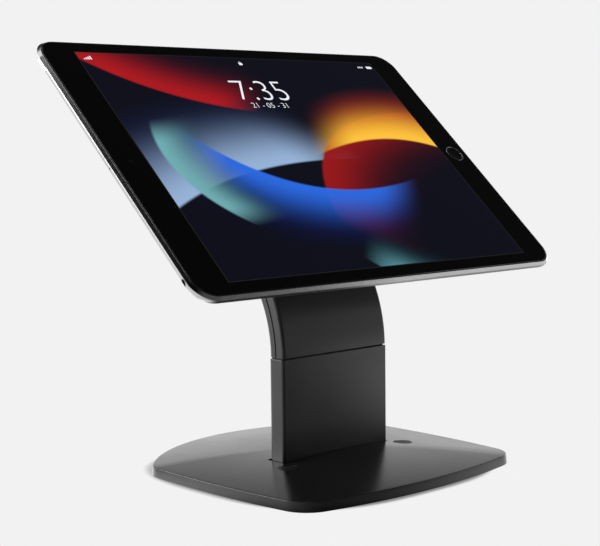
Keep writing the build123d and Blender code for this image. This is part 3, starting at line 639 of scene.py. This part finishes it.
# %% [markdown]
# The rim is drawn up from the floor line, a little narrower at its top. The dome takes eight
# rings, each drawn in and lifted. Then the underside is opened and the wall thickened
# inwards, because the real cover is a 2 mm casting, and the column's slot and the two round
# holes are cut through it. Every edge that shows gets a fine rounding.

# %% Model the base cover
rim_low, rim_top, rise, flare, wall = 0.8, 5.8, 4.9, 0.4, 2.0
column_half, column_front, column_depth = 37.25, -13.9, 11.0
column_back = column_front + column_depth
slot_gap, rear_gap, cut_top = 0.6, 1.2, 20
hole_x, hole_y, hole_radius = 41.6, -21.3, 5.1

cover = start("base_cover_shell", bpy.ops.mesh.primitive_circle_add, vertices=360, radius=1.0,
              fill_type="NGON")
edit_all(cover)
mesh = bmesh.from_edit_mesh(cover.data)
for vertex in mesh.verts:
    angle = math.atan2(vertex.co.y, vertex.co.x)
    reach = rim_reach(angle) + flare
    vertex.co = Vector((math.cos(angle) * reach, math.sin(angle) * reach, rim_low)) * MM
bmesh.update_edit_mesh(cover.data)
draw_out(z=rim_top - rim_low)
stretch(1 - flare / half_width, 1 - flare / half_width, 1)
ratio = 1.0
for next_ratio in (0.97, 0.92, 0.85, 0.75, 0.62, 0.47, 0.31, 0.15):
    draw_out(z=rise * (ratio**2 - next_ratio**2))
    stretch(next_ratio / ratio, next_ratio / ratio, 1)
    ratio = next_ratio
draw_out(z=rise * ratio**2)
bpy.ops.mesh.merge(type="CENTER")
stop_editing()
face_out(cover)
round_edges(cover, at_level(rim_top), 0.3, 3)
round_edges(cover, at_level(rim_low), 0.25, 2)
pick(cover, "faces", lambda p, d: p.z < rim_low + tolerance and facing_down(p, d))
bpy.ops.mesh.delete(type="FACE")
stop_editing()
thicken = cover.modifiers.new("wall", "SOLIDIFY")
thicken.thickness = wall * MM
thicken.offset = -1.0
bpy.ops.object.modifier_apply(modifier=thicken.name)

slot_cut = add_block("slot_cut", column_half + slot_gap, -slot_gap, column_depth + rear_gap,
                     0, cut_top)
round_edges(slot_cut, upright, 1.0, 4)
carve(cover, slot_cut)
for side in (-1, 1):
    carve(cover, add_rod("hole_cut", hole_radius, 0, cut_top, side * hole_x, hole_y))
finish_piece(cover, "stand", "cover_black", "base_cover")

# %% [markdown]
# The caps that close the bolt-down holes are flat mouldings with a bevelled edge and a skirt
# that clips into the hole. One is turned from a cylinder: its top edge is bevelled, and the
# skirt is an inset of its bottom face drawn down, with the middle hollowed. The other is a
# copy, moved across.

# %% Model the hole caps
cap_radius, cap_thick, skirt = 5.0, 1.4, 2.6
cap_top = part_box("left_hole_cap")[1].z / MM
cap = add_rod("left_hole_cap_dressed", cap_radius, cap_top - cap_thick, cap_top, -hole_x, hole_y)
round_edges(cap, at_level(cap_top), 0.35, 3)
pick(cap, "faces", facing_down)
for width, move in ((0.3, -skirt), (0.9, skirt)):
    inset(width)
    draw_out(z=move)
stop_editing()
right_cap = copy_piece(cap, "right_hole_cap_dressed", at(2 * hole_x, 0, 0))
finish_piece(cap, "stand", "cap_black", "left_hole_cap")
finish_piece(right_cap, "stand", "cap_black", "right_hole_cap")

# %% [markdown]
# The column is a flat extrusion: a box whose front edges are tight and whose rear edges are
# softer. Its inside is cut away for the arm's spine and for the cable, and the cable leaves
# by a rounded opening at the back. The four screws that hold the spine are countersunk in
# the rear face.

# %% Model the column
foot, split, seam = 5.0, 61.6, 0.8
column_top = split - seam / 2
column = add_block("column_body", column_half, 0, column_depth, foot, column_top)
round_edges(column, lambda p, d: upright(p, d) and p.y < column_front + 1, 1.4, 6)
round_edges(column, lambda p, d: upright(p, d) and p.y > column_back - 1, 3.0, 8)
round_edges(column, at_level(column_top), 0.25, 2)
outlet_cut = add_block("outlet_cut", 6, column_depth - 3, column_depth + 3, 12.5, 19.5)
round_edges(outlet_cut, front_to_back, 2.3, 6)
pocket_low, duct_low = column_top - 33.7, 11.5
for half, near, far, low in ((22.6, 2.2, 5.4, pocket_low), (13, 5.35, 9.2, duct_low)):
    carve(column, add_block("inside_cut", half, near, far, low, column_top + 1))
carve(column, outlet_cut)
tongue_spots = [(side * 17.5, split - drop) for side in (-1, 1) for drop in (11.0, 25.0)]
tongue_size, shell_size = (2.0, 3.9), (1.25, 2.5)


def sunk_cut(radius, head, length):
    """The room that a countersunk screw takes, pointing down from level 0."""
    cut = add_rod("sunk_cut", radius + 0.1, -length, 0.0, sides=32)
    deep, over = head - radius, 0.05
    cone = start("cone", bpy.ops.mesh.primitive_cone_add, location=(0, 0, (over - deep) / 2),
                 vertices=32, radius1=(radius + 0.1) * MM, radius2=(head + 0.15) * MM,
                 depth=(deep + over) * MM)
    carve(cut, cone, operation="UNION")
    return cut


tongue_places = [at(x, column_back, z) @ turned(-90, "X") for x, z in tongue_spots]
for place in tongue_places:
    carve(column, sunk_cut(*tongue_size, 8.0), place)
finish_piece(column, "stand", "column_black", "column")

# %% [markdown]
# A thin dark rubber sheet closes the line between the column and the arm. It is painted shade: it blocks the gap
# so that the seam reads as a dark line. It lies nearly a millimetre behind the faces, and the spine and the cable
# pass through its opening.

# %% Model the seam's shade sheet
recess, play = 0.9, 0.02
# Painted shade: a dark sheet set in the seam, where otherwise there is only the gap's own shadow.
seam_shade_sheet = add_block("split_gasket", column_half - recess - 0.4, recess, column_depth - recess,
                   column_top + play, column_top + seam - play)
round_edges(seam_shade_sheet, upright, 1.2, 5)
carve(seam_shade_sheet, add_block("gasket_cut", 22.8, 2.05, 9.4, column_top - 1, column_top + 2))
finish_piece(seam_shade_sheet, "stand", "pad_rubber", "column")

# %% [markdown]
# The arm is two shells that carry the column's section round a bend and then straight on to
# the hinge. This is what the spin tool is for: one flat face the size of the section is swung
# round the bend's centre, and its far end is drawn out along the slope. The same tool at
# other depths gives each cutter for the inside.

# %% Helpers for the arm
bend_radius, bend_angle, shell_run, arm_half = 74.0, math.radians(38.0), 16.5, 36.85
bend_y = column_front + bend_radius
bend_middle = Vector((0, bend_y, split))
along_slope = Vector((0, math.sin(bend_angle), math.cos(bend_angle)))
end_wall = 2.0


def arm_depth(p):
    """How far a point lies behind the arm's front face."""
    y, z = p.y - bend_y, p.z - split
    if z <= 0:
        return bend_radius + y
    if math.atan2(z, -y) <= bend_angle:
        return bend_radius - math.hypot(y, z)
    return bend_radius - (z * math.sin(bend_angle) - y * math.cos(bend_angle))


def arm_sweep(name, near_depth, far_depth, half, run):
    """A slice of the arm between two depths, spun round the bend and drawn out by a run."""
    piece = start(name, bpy.ops.mesh.primitive_plane_add,
                  Vector((2 * half, far_depth - near_depth, 1)) * MM,
                  (0, column_front + (near_depth + far_depth) / 2, split), size=1)
    edit_all(piece)
    bpy.ops.mesh.spin(steps=38, angle=bend_angle, center=bend_middle * MM, axis=(1, 0, 0))
    draw_out(*along_slope * run)
    stop_editing()
    face_out(piece)
    return piece


def slice_at(piece, point, direction, **values):
    """Cuts a piece in the plane through a point. With clear_inner, what lies behind goes."""
    edit_all(piece)
    bpy.ops.mesh.bisect(plane_co=Vector(point) * MM, plane_no=direction, **values)
    stop_editing()


def arm_body(name, near_depth, far_depth, edge_depth, radius, steps):
    """One shell's outer form, cut off at the seam, with its two long outer edges rounded."""
    body = arm_sweep(name, near_depth, far_depth, arm_half, shell_run)
    slice_at(body, (0, 0, split + seam / 2), (0, 0, 1), use_fill=True, clear_inner=True)
    face_out(body)
    round_edges(body, lambda p, d: abs(abs(p.x) - arm_half) < tolerance and abs(d.x) < 0.1
                and abs(arm_depth(p) - edge_depth) < 0.06, radius, steps)
    return body


def end_slot(near_depth, far_depth, half):
    """A box that opens the arm's end wall between two depths."""
    slot = add_block("end_slot", half, near_depth, far_depth, split + shell_run - end_wall - 1,
                     split + shell_run + 1)
    centre = at(*bend_middle)
    settle(slot, centre @ Matrix.Rotation(-bend_angle, 4, "X") @ centre.inverted())
    return slot


print("bend angle in degrees:", round(math.degrees(bend_angle)))

# %% [markdown]
# The two shells meet in a lapped seam: a thin lip stands on the front shell's inner face and
# reaches into the rear one. Cuts that take nothing away draw the lip's outline on that face,
# and the strips between them are pulled out along their normals. The rear shell carries four
# countersunk screws that go through to the front.

# %% Model the arm shells
seam_front, seam_rear = (column_depth - seam) / 2, (column_depth + seam) / 2
front_wall, rear_wall, side_wall = 2.2, 1.8, 2.2
lip_inner, lip_outer, lip_reach = arm_half - 3.35, arm_half - 2.4, 1.6
front_shell = arm_body("arm_front_body", 0, seam_front, 0, 1.4, 6)
bend_end = bend_middle + bend_radius * Vector((0, -math.cos(bend_angle), math.sin(bend_angle)))
lip_end = bend_end + along_slope * (shell_run - end_wall - 0.2)
for side in (-1, 1):
    for reach in (lip_inner, lip_outer):
        slice_at(front_shell, (side * reach, 0, 0), (1, 0, 0))
slice_at(front_shell, lip_end, along_slope)
pick(front_shell, "faces", lambda p, d: abs(arm_depth(p) - seam_front) < 0.06
     and lip_inner < abs(p.x) < lip_outer and (p - lip_end).dot(along_slope) < 0)
reach = (seam + lip_reach) * MM
bpy.ops.mesh.extrude_region_shrink_fatten(TRANSFORM_OT_shrink_fatten={"value": reach})
stop_editing()
carve(front_shell, arm_sweep("room", front_wall, seam_front + 1, lip_inner - 0.05,
                             shell_run - end_wall))
carve(front_shell, end_slot(front_wall + 0.05, front_wall + 9.0, 22.6))
finish_piece(front_shell, "stand", "column_black", "arm_front_shell")

rear_shell = arm_body("arm_rear_body", seam_rear, column_depth, column_depth, 3.0, 8)
carve(rear_shell, end_slot(seam_rear - 1, column_depth - rear_wall - 0.05, 7.0))


def arm_place(degrees, x):
    """Lays local +Z outwards through the arm's rear face, at an angle of the bend."""
    turn = math.radians(degrees)
    reach = bend_radius - column_depth
    return (at(x, bend_y - reach * math.cos(turn), split + reach * math.sin(turn))
            @ turned(-90 - degrees, "X"))


shell_places = [arm_place(degrees, side * 15.0) for degrees in (11.0, 33.0) for side in (-1, 1)]
for place in shell_places:
    carve(rear_shell, sunk_cut(*shell_size, 4.0), place)
carve(rear_shell, arm_sweep("room", seam_rear - 1, column_depth - rear_wall, arm_half - side_wall,
                            shell_run - end_wall))
finish_piece(rear_shell, "stand", "column_black", "arm_rear_shell")

# %% [markdown]
# Every screw on the stand is the same kind, a countersunk socket screw, in four sizes. One
# function turns it: a cylinder's top face is drawn up and spread into the head, the tip is
# bevelled, and a six-sided rod cuts the socket. Each size is turned once and copied to its
# places.

# %% Model the screws
def turn_screw(name, radius, head, length):
    """A countersunk socket screw, its head flush at level 0 and its tip down."""
    sink, band = head - radius, 0.1
    screw = add_rod(name, radius, -length, -sink - band, sides=40)
    pick(screw, "faces", facing_up)
    draw_out(z=sink)
    stretch(head / radius, head / radius, 1)
    draw_out(z=band)
    stop_editing()
    round_edges(screw, at_level(-length), 0.3 * radius, 2)
    round_edges(screw, at_level(0), 0.06, 2)
    carve(screw, add_rod("socket", radius * 0.68, -sink * 0.9, 1, sides=6))
    return screw


def from_below(x, y):
    """The place of a screw whose head is flush with the ballast's underside."""
    return at(x, y, 1.5) @ turned(180, "X")


cover_spots = [(-52, -48), (52, -48), (-58, 22), (58, 22), (0, -60), (0, 56)]
bolt_spots = [(side * 27.5, -8.4) for side in (-1, 1)]
for name, sizes, places in (
        ("cover_screw", (1.5, 2.9, 5.0), [from_below(*spot) for spot in cover_spots]),
        ("column_bolt", (2.5, 4.6, 16.0), [from_below(*spot) for spot in bolt_spots]),
        ("tongue_screw", (*tongue_size, 8.4), tongue_places),
        ("shell_screw", (*shell_size, 8.5), shell_places)):
    first = turn_screw(name, *sizes)
    for count, place in enumerate(places, start=1):
        screw = copy_piece(first, f"{name}_{count}", place)
        finish_piece(screw, "stand", "screw_steel", name + "s")
    bpy.data.objects.remove(first)

# %% [markdown]
# Two caps cover the ends of the hinge pin. Each is a shallow cup with a well-rounded rim: a
# cylinder whose outer edge is bevelled, and whose inner face is inset and pushed in.

# %% Model the hinge caps
cup_inner, cup_outer, cup_radius, cup_wall = 28.15, 37.35, 10.2, 1.4
cup = add_rod("left_hinge_cap_dressed", cup_radius, cup_inner, cup_outer, sides=96)
round_edges(cup, at_level(cup_outer), cup_wall, 6)
pick(cup, "faces", facing_down)
inset(cup_wall)
draw_out(z=cup_outer - cup_inner - cup_wall)
stop_editing()
at_hinge = Matrix.Translation(joints["tilt"]["pos_m"])
right_cup = copy_piece(cup, "right_hinge_cap_dressed", at_hinge @ turned(90, "Y"))
finish_piece(cup, "tilt_head", "cap_black", "left_hinge_cap", at_hinge @ turned(-90, "Y"))
finish_piece(right_cup, "tilt_head", "cap_black", "right_hinge_cap")

# %% [markdown]
# The tablet's housing is machined from one block. Its back curves up to the sides in a
# quarter of an ellipse, longer than it is deep, which is why the tablet looks so thin from
# the front. A bevel only makes quarter circles, so the box is bevelled taller than it should
# be and then pressed flat. The polished slope round the glass is an inset that rises. Two
# more insets sink the glass's seat and the room behind it.

# %% Model the tablet housing
long_half, short_half, thick, tablet_corner = 125.3, 87.05, 7.5, 12.5
rim_front, seat, floor_level = -0.2, -0.8, -6.5
slope_width, slope_rise, land_width, ledge_width = 1.4, 1.35, 0.55, 2.35
curve_reach, tall = 8.4, 8.5
wall_top = rim_front - slope_rise
housing = add_box("tablet_shell", (-long_half, -short_half, -tall), (long_half, short_half, 0))
round_edges(housing, upright, tablet_corner, 16)
round_edges(housing, at_level(-tall), curve_reach, 14)
edit_all(housing)
stretch(1, 1, (wall_top + thick) / tall)
lift(wall_top)
stop_editing()
pick(housing, "faces", facing_up)
inset(slope_width, slope_rise)
for width, sink in ((land_width, rim_front - seat), (ledge_width, seat - floor_level)):
    inset(width)
    draw_out(z=-sink)
stop_editing()
round_edges(housing, at_level(rim_front), 0.06, 2)
print("polished slope, wide and high in mm:", slope_width, slope_rise)

# %% [markdown]
# The openings in its sides are cut with two tools: a bar with half-round ends for the buttons
# and the charge port, and a rod for the round holes. Each is made at the origin and carried
# to its wall.

# %% Open the housing's sides
def slot_rod(name, length, height, depth):
    """A bar along X with half-round ends, from y = 0 back by its depth."""
    bar = add_box(name, (-length / 2, -depth, -height / 2), (length / 2, 0, height / 2))
    round_edges(bar, front_to_back, height / 2 * 0.999, 8)
    face_out(bar, join_within=0.01)
    return bar


side_z, port_z, jack_z, speaker_z = -2.7, -3.9, -3.6, -3.4
button_places = {"power_button": at(-long_half, 70.7, side_z) @ turned(90, "Z"),
                 "volume_up_button": at(-88.0, short_half, side_z),
                 "volume_down_button": at(-75.0, short_half, side_z)}
out_past, port_turn = at(0, 3, 0), turned(-90, "Z")
for place in button_places.values():
    carve(housing, slot_rod("opening", 9.3, 2.3, 9.0), place @ out_past)
carve(housing, slot_rod("port_cut", 9.6, 3.4, 12.0),
      at(long_half, 0, port_z) @ port_turn @ out_past)
jack, microphone = (1.87, -long_half, -73.3, jack_z), (0.5, -long_half, -1.8, side_z)
speakers = [(0.75, long_half, side * 38.0 + (step - 3) * 2.6, speaker_z)
            for side in (-1, 1) for step in range(7)]
for radius, x, y, z in (jack, microphone, *speakers):
    carve(housing, add_rod("bore", radius, -4.6, 4.6, sides=32), at(x, y, z) @ turned(90, "Y"))
rear_camera = (-110.5, 72.0)
carve(housing, add_rod("camera_cut", 4.0, -thick - 1, floor_level + 1, *rear_camera))
finish_piece(housing, "tablet", "tablet_aluminium", "tablet_housing", tablet_place)

# %% [markdown]
# The charge port is a cup with half-round ends and a contact tongue. Its mouth lies just
# inside the curved wall.

# %% Model the charge port
port = slot_rod("port_cup", 9.56, 3.36, 2.4)
pick(port, "faces", lambda p, d: d.y > mostly)
for width, move in ((0.4, -2.0), (0.85, 1.4)):
    inset(width)
    draw_out(y=move)
stop_editing()
port_place = at(long_half - 2.7, 0, port_z) @ port_turn
finish_piece(port, "tablet", "tablet_inner", "charge_port", tablet_place @ port_place)

# %% [markdown]
# The side buttons are stems with half-round ends that stand a little proud of the curved
# wall. Each has a flange behind the wall, so that it can't fall out.

# %% Model the side buttons
proud, flange = 0.05, 0.5
button = slot_rod("side_button", 9.0, 2.0, 4.55)
settle(button, at(0, proud, 0))
round_edges(button, lambda p, d: abs(p.y - proud) < tolerance, 0.3, 3)
pick(button, "faces", lambda p, d: d.y < -mostly)
draw_out()
stretch(10 / 9, 1, 1.25)
draw_out(y=-flange)
stop_editing()
for name, place in button_places.items():
    dressed = copy_piece(button, name + "_dressed", tablet_place @ place)
    finish_piece(dressed, name, "tablet_aluminium", name)
bpy.data.objects.remove(button)

# %% [markdown]
# The front glass is one sheet with a finely rounded edge and a single round hole for the home
# button.

# %% Model the cover glass
glass_gap, home_x = 2.05, 114.2
glass_x, glass_y = long_half - glass_gap, short_half - glass_gap
glass = add_box("front_glass", (-glass_x, -glass_y, seat), (glass_x, glass_y, 0))
round_edges(glass, upright, tablet_corner - glass_gap, 16)
round_edges(glass, at_level(0), 0.25, 3)
carve(glass, add_rod("home_cut", 5.75, -2, 2, home_x, 0, sides=96))
finish_piece(glass, "tablet", "tablet_glass", "cover_glass", tablet_place)

# %% [markdown]
# The home button is a dished black cap inside a thin metal ring. The ring is a small bevelled
# section spun once round. The cap is a cylinder whose top is inset ring by ring and lowered,
# so that it takes a finger.

# %% Model the home button and its ring
ring_low, ring_bore, ring_reach = -1.6, 5.05, 5.7
ring = start("home_ring_band", bpy.ops.mesh.primitive_plane_add,
             Vector((ring_reach - ring_bore, -ring_low, 1)) * MM,
             ((ring_reach + ring_bore) / 2, 0, ring_low / 2), size=1, rotation=(math.pi / 2, 0, 0))
pick(ring, "verts", at_level(0))
bpy.ops.mesh.bevel(offset=0.16 * MM, segments=3, affect="VERTICES")
bpy.ops.mesh.select_all(action="SELECT")
bpy.ops.mesh.delete(type="ONLY_FACE")
bpy.ops.mesh.select_all(action="SELECT")
bpy.ops.mesh.spin(steps=96, angle=2 * math.pi, center=(0, 0, 0), axis=(0, 0, 1))
stop_editing()
face_out(ring)
at_home = tablet_place @ at(home_x, 0, 0)
finish_piece(ring, "tablet", "tablet_aluminium", "home_button_ring", at_home)

home_radius, home_top, home_flange, dish_radius = 4.95, -0.15, 5.55, 32.0
home = add_rod("home_button_dressed", home_radius, ring_low, home_top, sides=96)
pick(home, "faces", facing_down)
draw_out()
stretch(home_flange / home_radius, home_flange / home_radius, 1)
draw_out(z=-flange)
stop_editing()
pick(home, "faces", lambda p, d: facing_up(p, d) and p.z > home_top - 0.05)
reach = home_radius
for next_reach in (4.7, 3.95, 3.1, 2.2, 1.2):
    inset(reach - next_reach)
    lift(-(reach**2 - next_reach**2) / (2 * dish_radius) if reach < home_radius else -0.02)
    reach = next_reach
stop_editing()
finish_piece(home, "home_button", "home_cap", "home_button", at_home)

# %% [markdown]
# The screen shows a clock, a row of numbers and a few small marks. They are thin sheets of
# light just above the glass. The numbers begin as text, thinned by a negative offset and made
# a mesh. The marks are boxes with rounded corners, and a flattened torus over the middle one
# makes it a lock.

# %% Model the screen's marks
mark_low, mark_high = 0.01, 0.04
mark_material, tree, shader = new_material("screen_light", Roughness=0.4, Emission_Strength=1.0,
                                           Base_Color=(0.02, 0.02, 0.02, 1))
patches = add_grain(tree, object_point(tree), 0.3, 6)[1]
glow = blend_colours(tree, patches, srgb(236, 240, 246), srgb(246, 248, 252))
feed(shader, {"Emission Color": glow})


def add_numbers(name, body, x, y, size, thinning):
    """A line of numbers centred on a point, as a thin closed mesh."""
    bpy.ops.object.select_all(action="DESELECT")
    bpy.ops.object.text_add()
    words = bpy.context.object
    words.name = name
    text = words.data
    text.body, text.size, text.align_x = body, size * MM, "CENTER"
    text.offset, text.resolution_u = -thinning * MM, 6
    text.extrude = (mark_high - mark_low) / 2 * MM
    bpy.ops.object.convert(target="MESH")
    numbers = bpy.context.object
    settle(numbers, at(x, y, (mark_low + mark_high) / 2))
    face_out(numbers)
    return numbers


def add_mark(x, y, width, height, corner):
    """A small flat mark with rounded corners."""
    mark = add_box("mark", (x - width / 2, y - height / 2, mark_low),
                   (x + width / 2, y + height / 2, mark_high))
    round_edges(mark, upright, corner, 4)
    return mark


clock = add_numbers("clock_numbers", "7:35", 0.5, 43.8, 23.0, 0.42)
date_row = add_numbers("date_numbers", "21 - 05 - 31", 0.0, 37.9, 5.6, 0.08)
rows = [(100.2, 73.9, 4.2, 2.0, 0.5), (102.6, 73.9, 0.4, 0.9, 0.15), (0.6, 73.3, 2.4, 1.9, 0.4)]
rows += [(-100.6 + 1.3 * step, 73.1 + 0.3 * step, 0.8, 0.8 + 0.6 * step, 0.15)
         for step in range(4)]
rows += [(91.6 + 1.5 * step, 73.9, 0.9, 1.3, 0.2) for step in range(3)]
marks = [add_mark(*row) for row in rows]
marks.append(start("shackle", bpy.ops.mesh.primitive_torus_add, (1, 1, 0.1),
                   (0.6, 74.3, mark_high), major_radius=0.75 * MM, minor_radius=0.12 * MM,
                   major_segments=24, minor_segments=8))
only(marks[0])
for mark in marks:
    mark.select_set(True)
bpy.ops.object.join()
marks[0].name = "status_marks"
for lit_piece in (clock, date_row, marks[0]):
    finish_piece(lit_piece, "tablet", "display_stack", "cover_glass", tablet_place)
    lit_piece.data.materials[0] = mark_material

# %% [markdown]
# The front camera looks out of the left border through a small round window. Its rim and its
# domed lens are one cylinder, whose top is inset and lowered, and inset and raised again.

# %% Model the front camera's window
lens = add_rod("front_camera_window", 1.25, mark_low, 0.06, -113.4, 0, sides=48)
pick(lens, "faces", facing_up)
for width, move in ((0.2, -0.02), (0.15, 0.0), (0.3, 0.015), (0.3, 0.008)):
    inset(width)
    lift(move)
stop_editing()
finish_piece(lens, "tablet", "camera_black", "cover_glass", tablet_place)

# %% [markdown]
# The stand looks best on plain white, as in a catalogue. The camera sees one white
# everywhere, and only close round the base does the floor's real light show through, so that
# the soft contact shadow stays. What the black metal mirrors is painted reflection: a glow on
# the floor that only reflections see. On the lamp side the floor glows, towards the front right
# a second patch of it glows, and between the two it is dim, so each face of the column gets
# its own painted gradient. The base's rim mirrors only the floor close beside it, which has its
# own painted pattern: bright, dim, and bright again from left to right.

# %% Floor
page_white, floor_radius = 0.888, 6.0
floor_material, tree, shader = new_material("floor_white", Roughness=0.9, Specular_IOR_Level=0.0,
                                            Base_Color=(0.62, 0.62, 0.62, 1))
place = object_point(tree)
spot = put(tree, "ShaderNodeSeparateXYZ", {0: place}).outputs
outward = 0.0
for axis, half in zip("XY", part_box("base_cover")[1]):
    share = maths(tree, "ABSOLUTE", maths(tree, "DIVIDE", spot[axis], half))
    outward = maths(tree, "ADD", outward, maths(tree, "POWER", share, 3.0))
near = ramp(tree, outward, 0.95, 1.13, 0.7, 0.0)
# Painted reflection: the glows from here on are emission that only glossy rays see, painted light on the floor for
# the black metal to mirror.
along_lit = along(tree, place, (-0.69, 0.72, 0.0))
painted_left_glow = maths(tree, "MULTIPLY", ramp(tree, along_lit, -0.1, 0.16, 0.15, 1.4),
                  ramp(tree, along_lit, 0.2, 0.4, 1.0, 0.68))
across, ahead = (maths(tree, kind, spot["X"], spot["Y"]) for kind in ("ADD", "SUBTRACT"))
band = maths(tree, "MULTIPLY", ramp(tree, across, -0.03, 0.05),
             ramp(tree, across, 0.06, 0.14, 1.0, 0.25))
painted_right_glow = maths(tree, "MULTIPLY", band, ramp(tree, ahead, 0.18, 0.42, 0.75, 3.1))
painted_rim_glow = maths(tree, "MULTIPLY", ramp(tree, along_lit, 0.01, 0.075, 0.02, 2.3),
                 ramp(tree, along_lit, 0.095, 0.12, 1.0, 0.3))
beside = maths(tree, "ADD", painted_rim_glow, ramp(tree, along_lit, -0.13, -0.01, 1.55, 0.0))
painted_reflection = blend_values(tree, ramp(tree, outward, 1.5, 4.0, 1.0, 0.0),
                        maths(tree, "ADD", painted_left_glow, painted_right_glow), beside)

rays = put(tree, "ShaderNodeLightPath").outputs
camera_ray = rays["Is Camera Ray"]
seen = maths(tree, "MAXIMUM", camera_ray, rays["Is Glossy Ray"])
share = maths(tree, "MAXIMUM", maths(tree, "MULTIPLY", near, camera_ray),
              maths(tree, "SUBTRACT", 1.0, seen))
page = put(tree, "ShaderNodeEmission", {"Color": (page_white, page_white, page_white, 1),
                                        "Strength": blend_values(tree, camera_ray, painted_reflection, 1.0)})
both = put(tree, "ShaderNodeMixShader", {0: share, 1: page.outputs[0], 2: shader.outputs[0]})
feed(tree.nodes["Material Output"], {"Surface": both.outputs[0]})

bpy.ops.mesh.primitive_circle_add(vertices=96, radius=floor_radius, fill_type="NGON")
floor = bpy.context.object
floor.name = "floor"
floor.data.materials.append(floor_material)
print("floor radius in metres:", floor_radius)

# %% [markdown]
# The sky is white near the horizon behind the stand, where the base mirrors it at a low
# angle, and dark overhead, so that the tablet's glass stays black.

# %% Sky
sky_low, sky_high = 0.20, 0.50
world = bpy.data.worlds.new("studio")
bpy.context.scene.world = world
world.use_nodes = True
tree = world.node_tree
direction = put(tree, "ShaderNodeTexCoord").outputs["Generated"]
height = put(tree, "ShaderNodeSeparateXYZ", {0: direction}).outputs["Z"]
open_share = ramp(tree, along(tree, direction, (0.68, 0.73, 0.0)), -0.10, 0.08, 0.10, 1.0)
sky = maths(tree, "MULTIPLY", ramp(tree, height, sky_low, sky_high, 1.25, 0.03), open_share)
camera_ray = put(tree, "ShaderNodeLightPath").outputs["Is Camera Ray"]
feed(tree.nodes["Background"], {"Color": blend_values(tree, camera_ray, sky, page_white)})
print("sky: white below height", sky_low, "and dark above", sky_high)

# %% [markdown]
# Black satin metal shows its shape only by what it mirrors, so the lamps are large soft
# boxes: a strong one on the left for the column's side and the tablet's silver edge, a very
# weak one on the right, and a weak one above.

# %% Soft boxes
def soft_box(name, place, aim, size, power):
    """A rectangular lamp at a place, turned to face a point."""
    bpy.ops.object.light_add(type="AREA", location=place)
    lamp = bpy.context.object
    lamp.name = name
    lamp.data.shape = "RECTANGLE"
    lamp.data.size, lamp.data.size_y = size
    lamp.data.energy = power
    lamp.rotation_euler = (Vector(aim) - Vector(place)).to_track_quat("-Z", "Y").to_euler()
    print(name, "power", power)


soft_box("left_box", (-1.25, 1.15, 0.6), (0, 0, 0.05), (1.4, 0.9), 34)
soft_box("right_box", (1.55, 0.40, 0.30), (0, 0, 0.05), (0.8, 0.55), 1.5)
soft_box("top_box", (-0.2, 0.3, 1.9), (0, 0, 0.1), (1.4, 1.4), 10)
bpy.context.scene.view_settings.view_transform = "Standard"
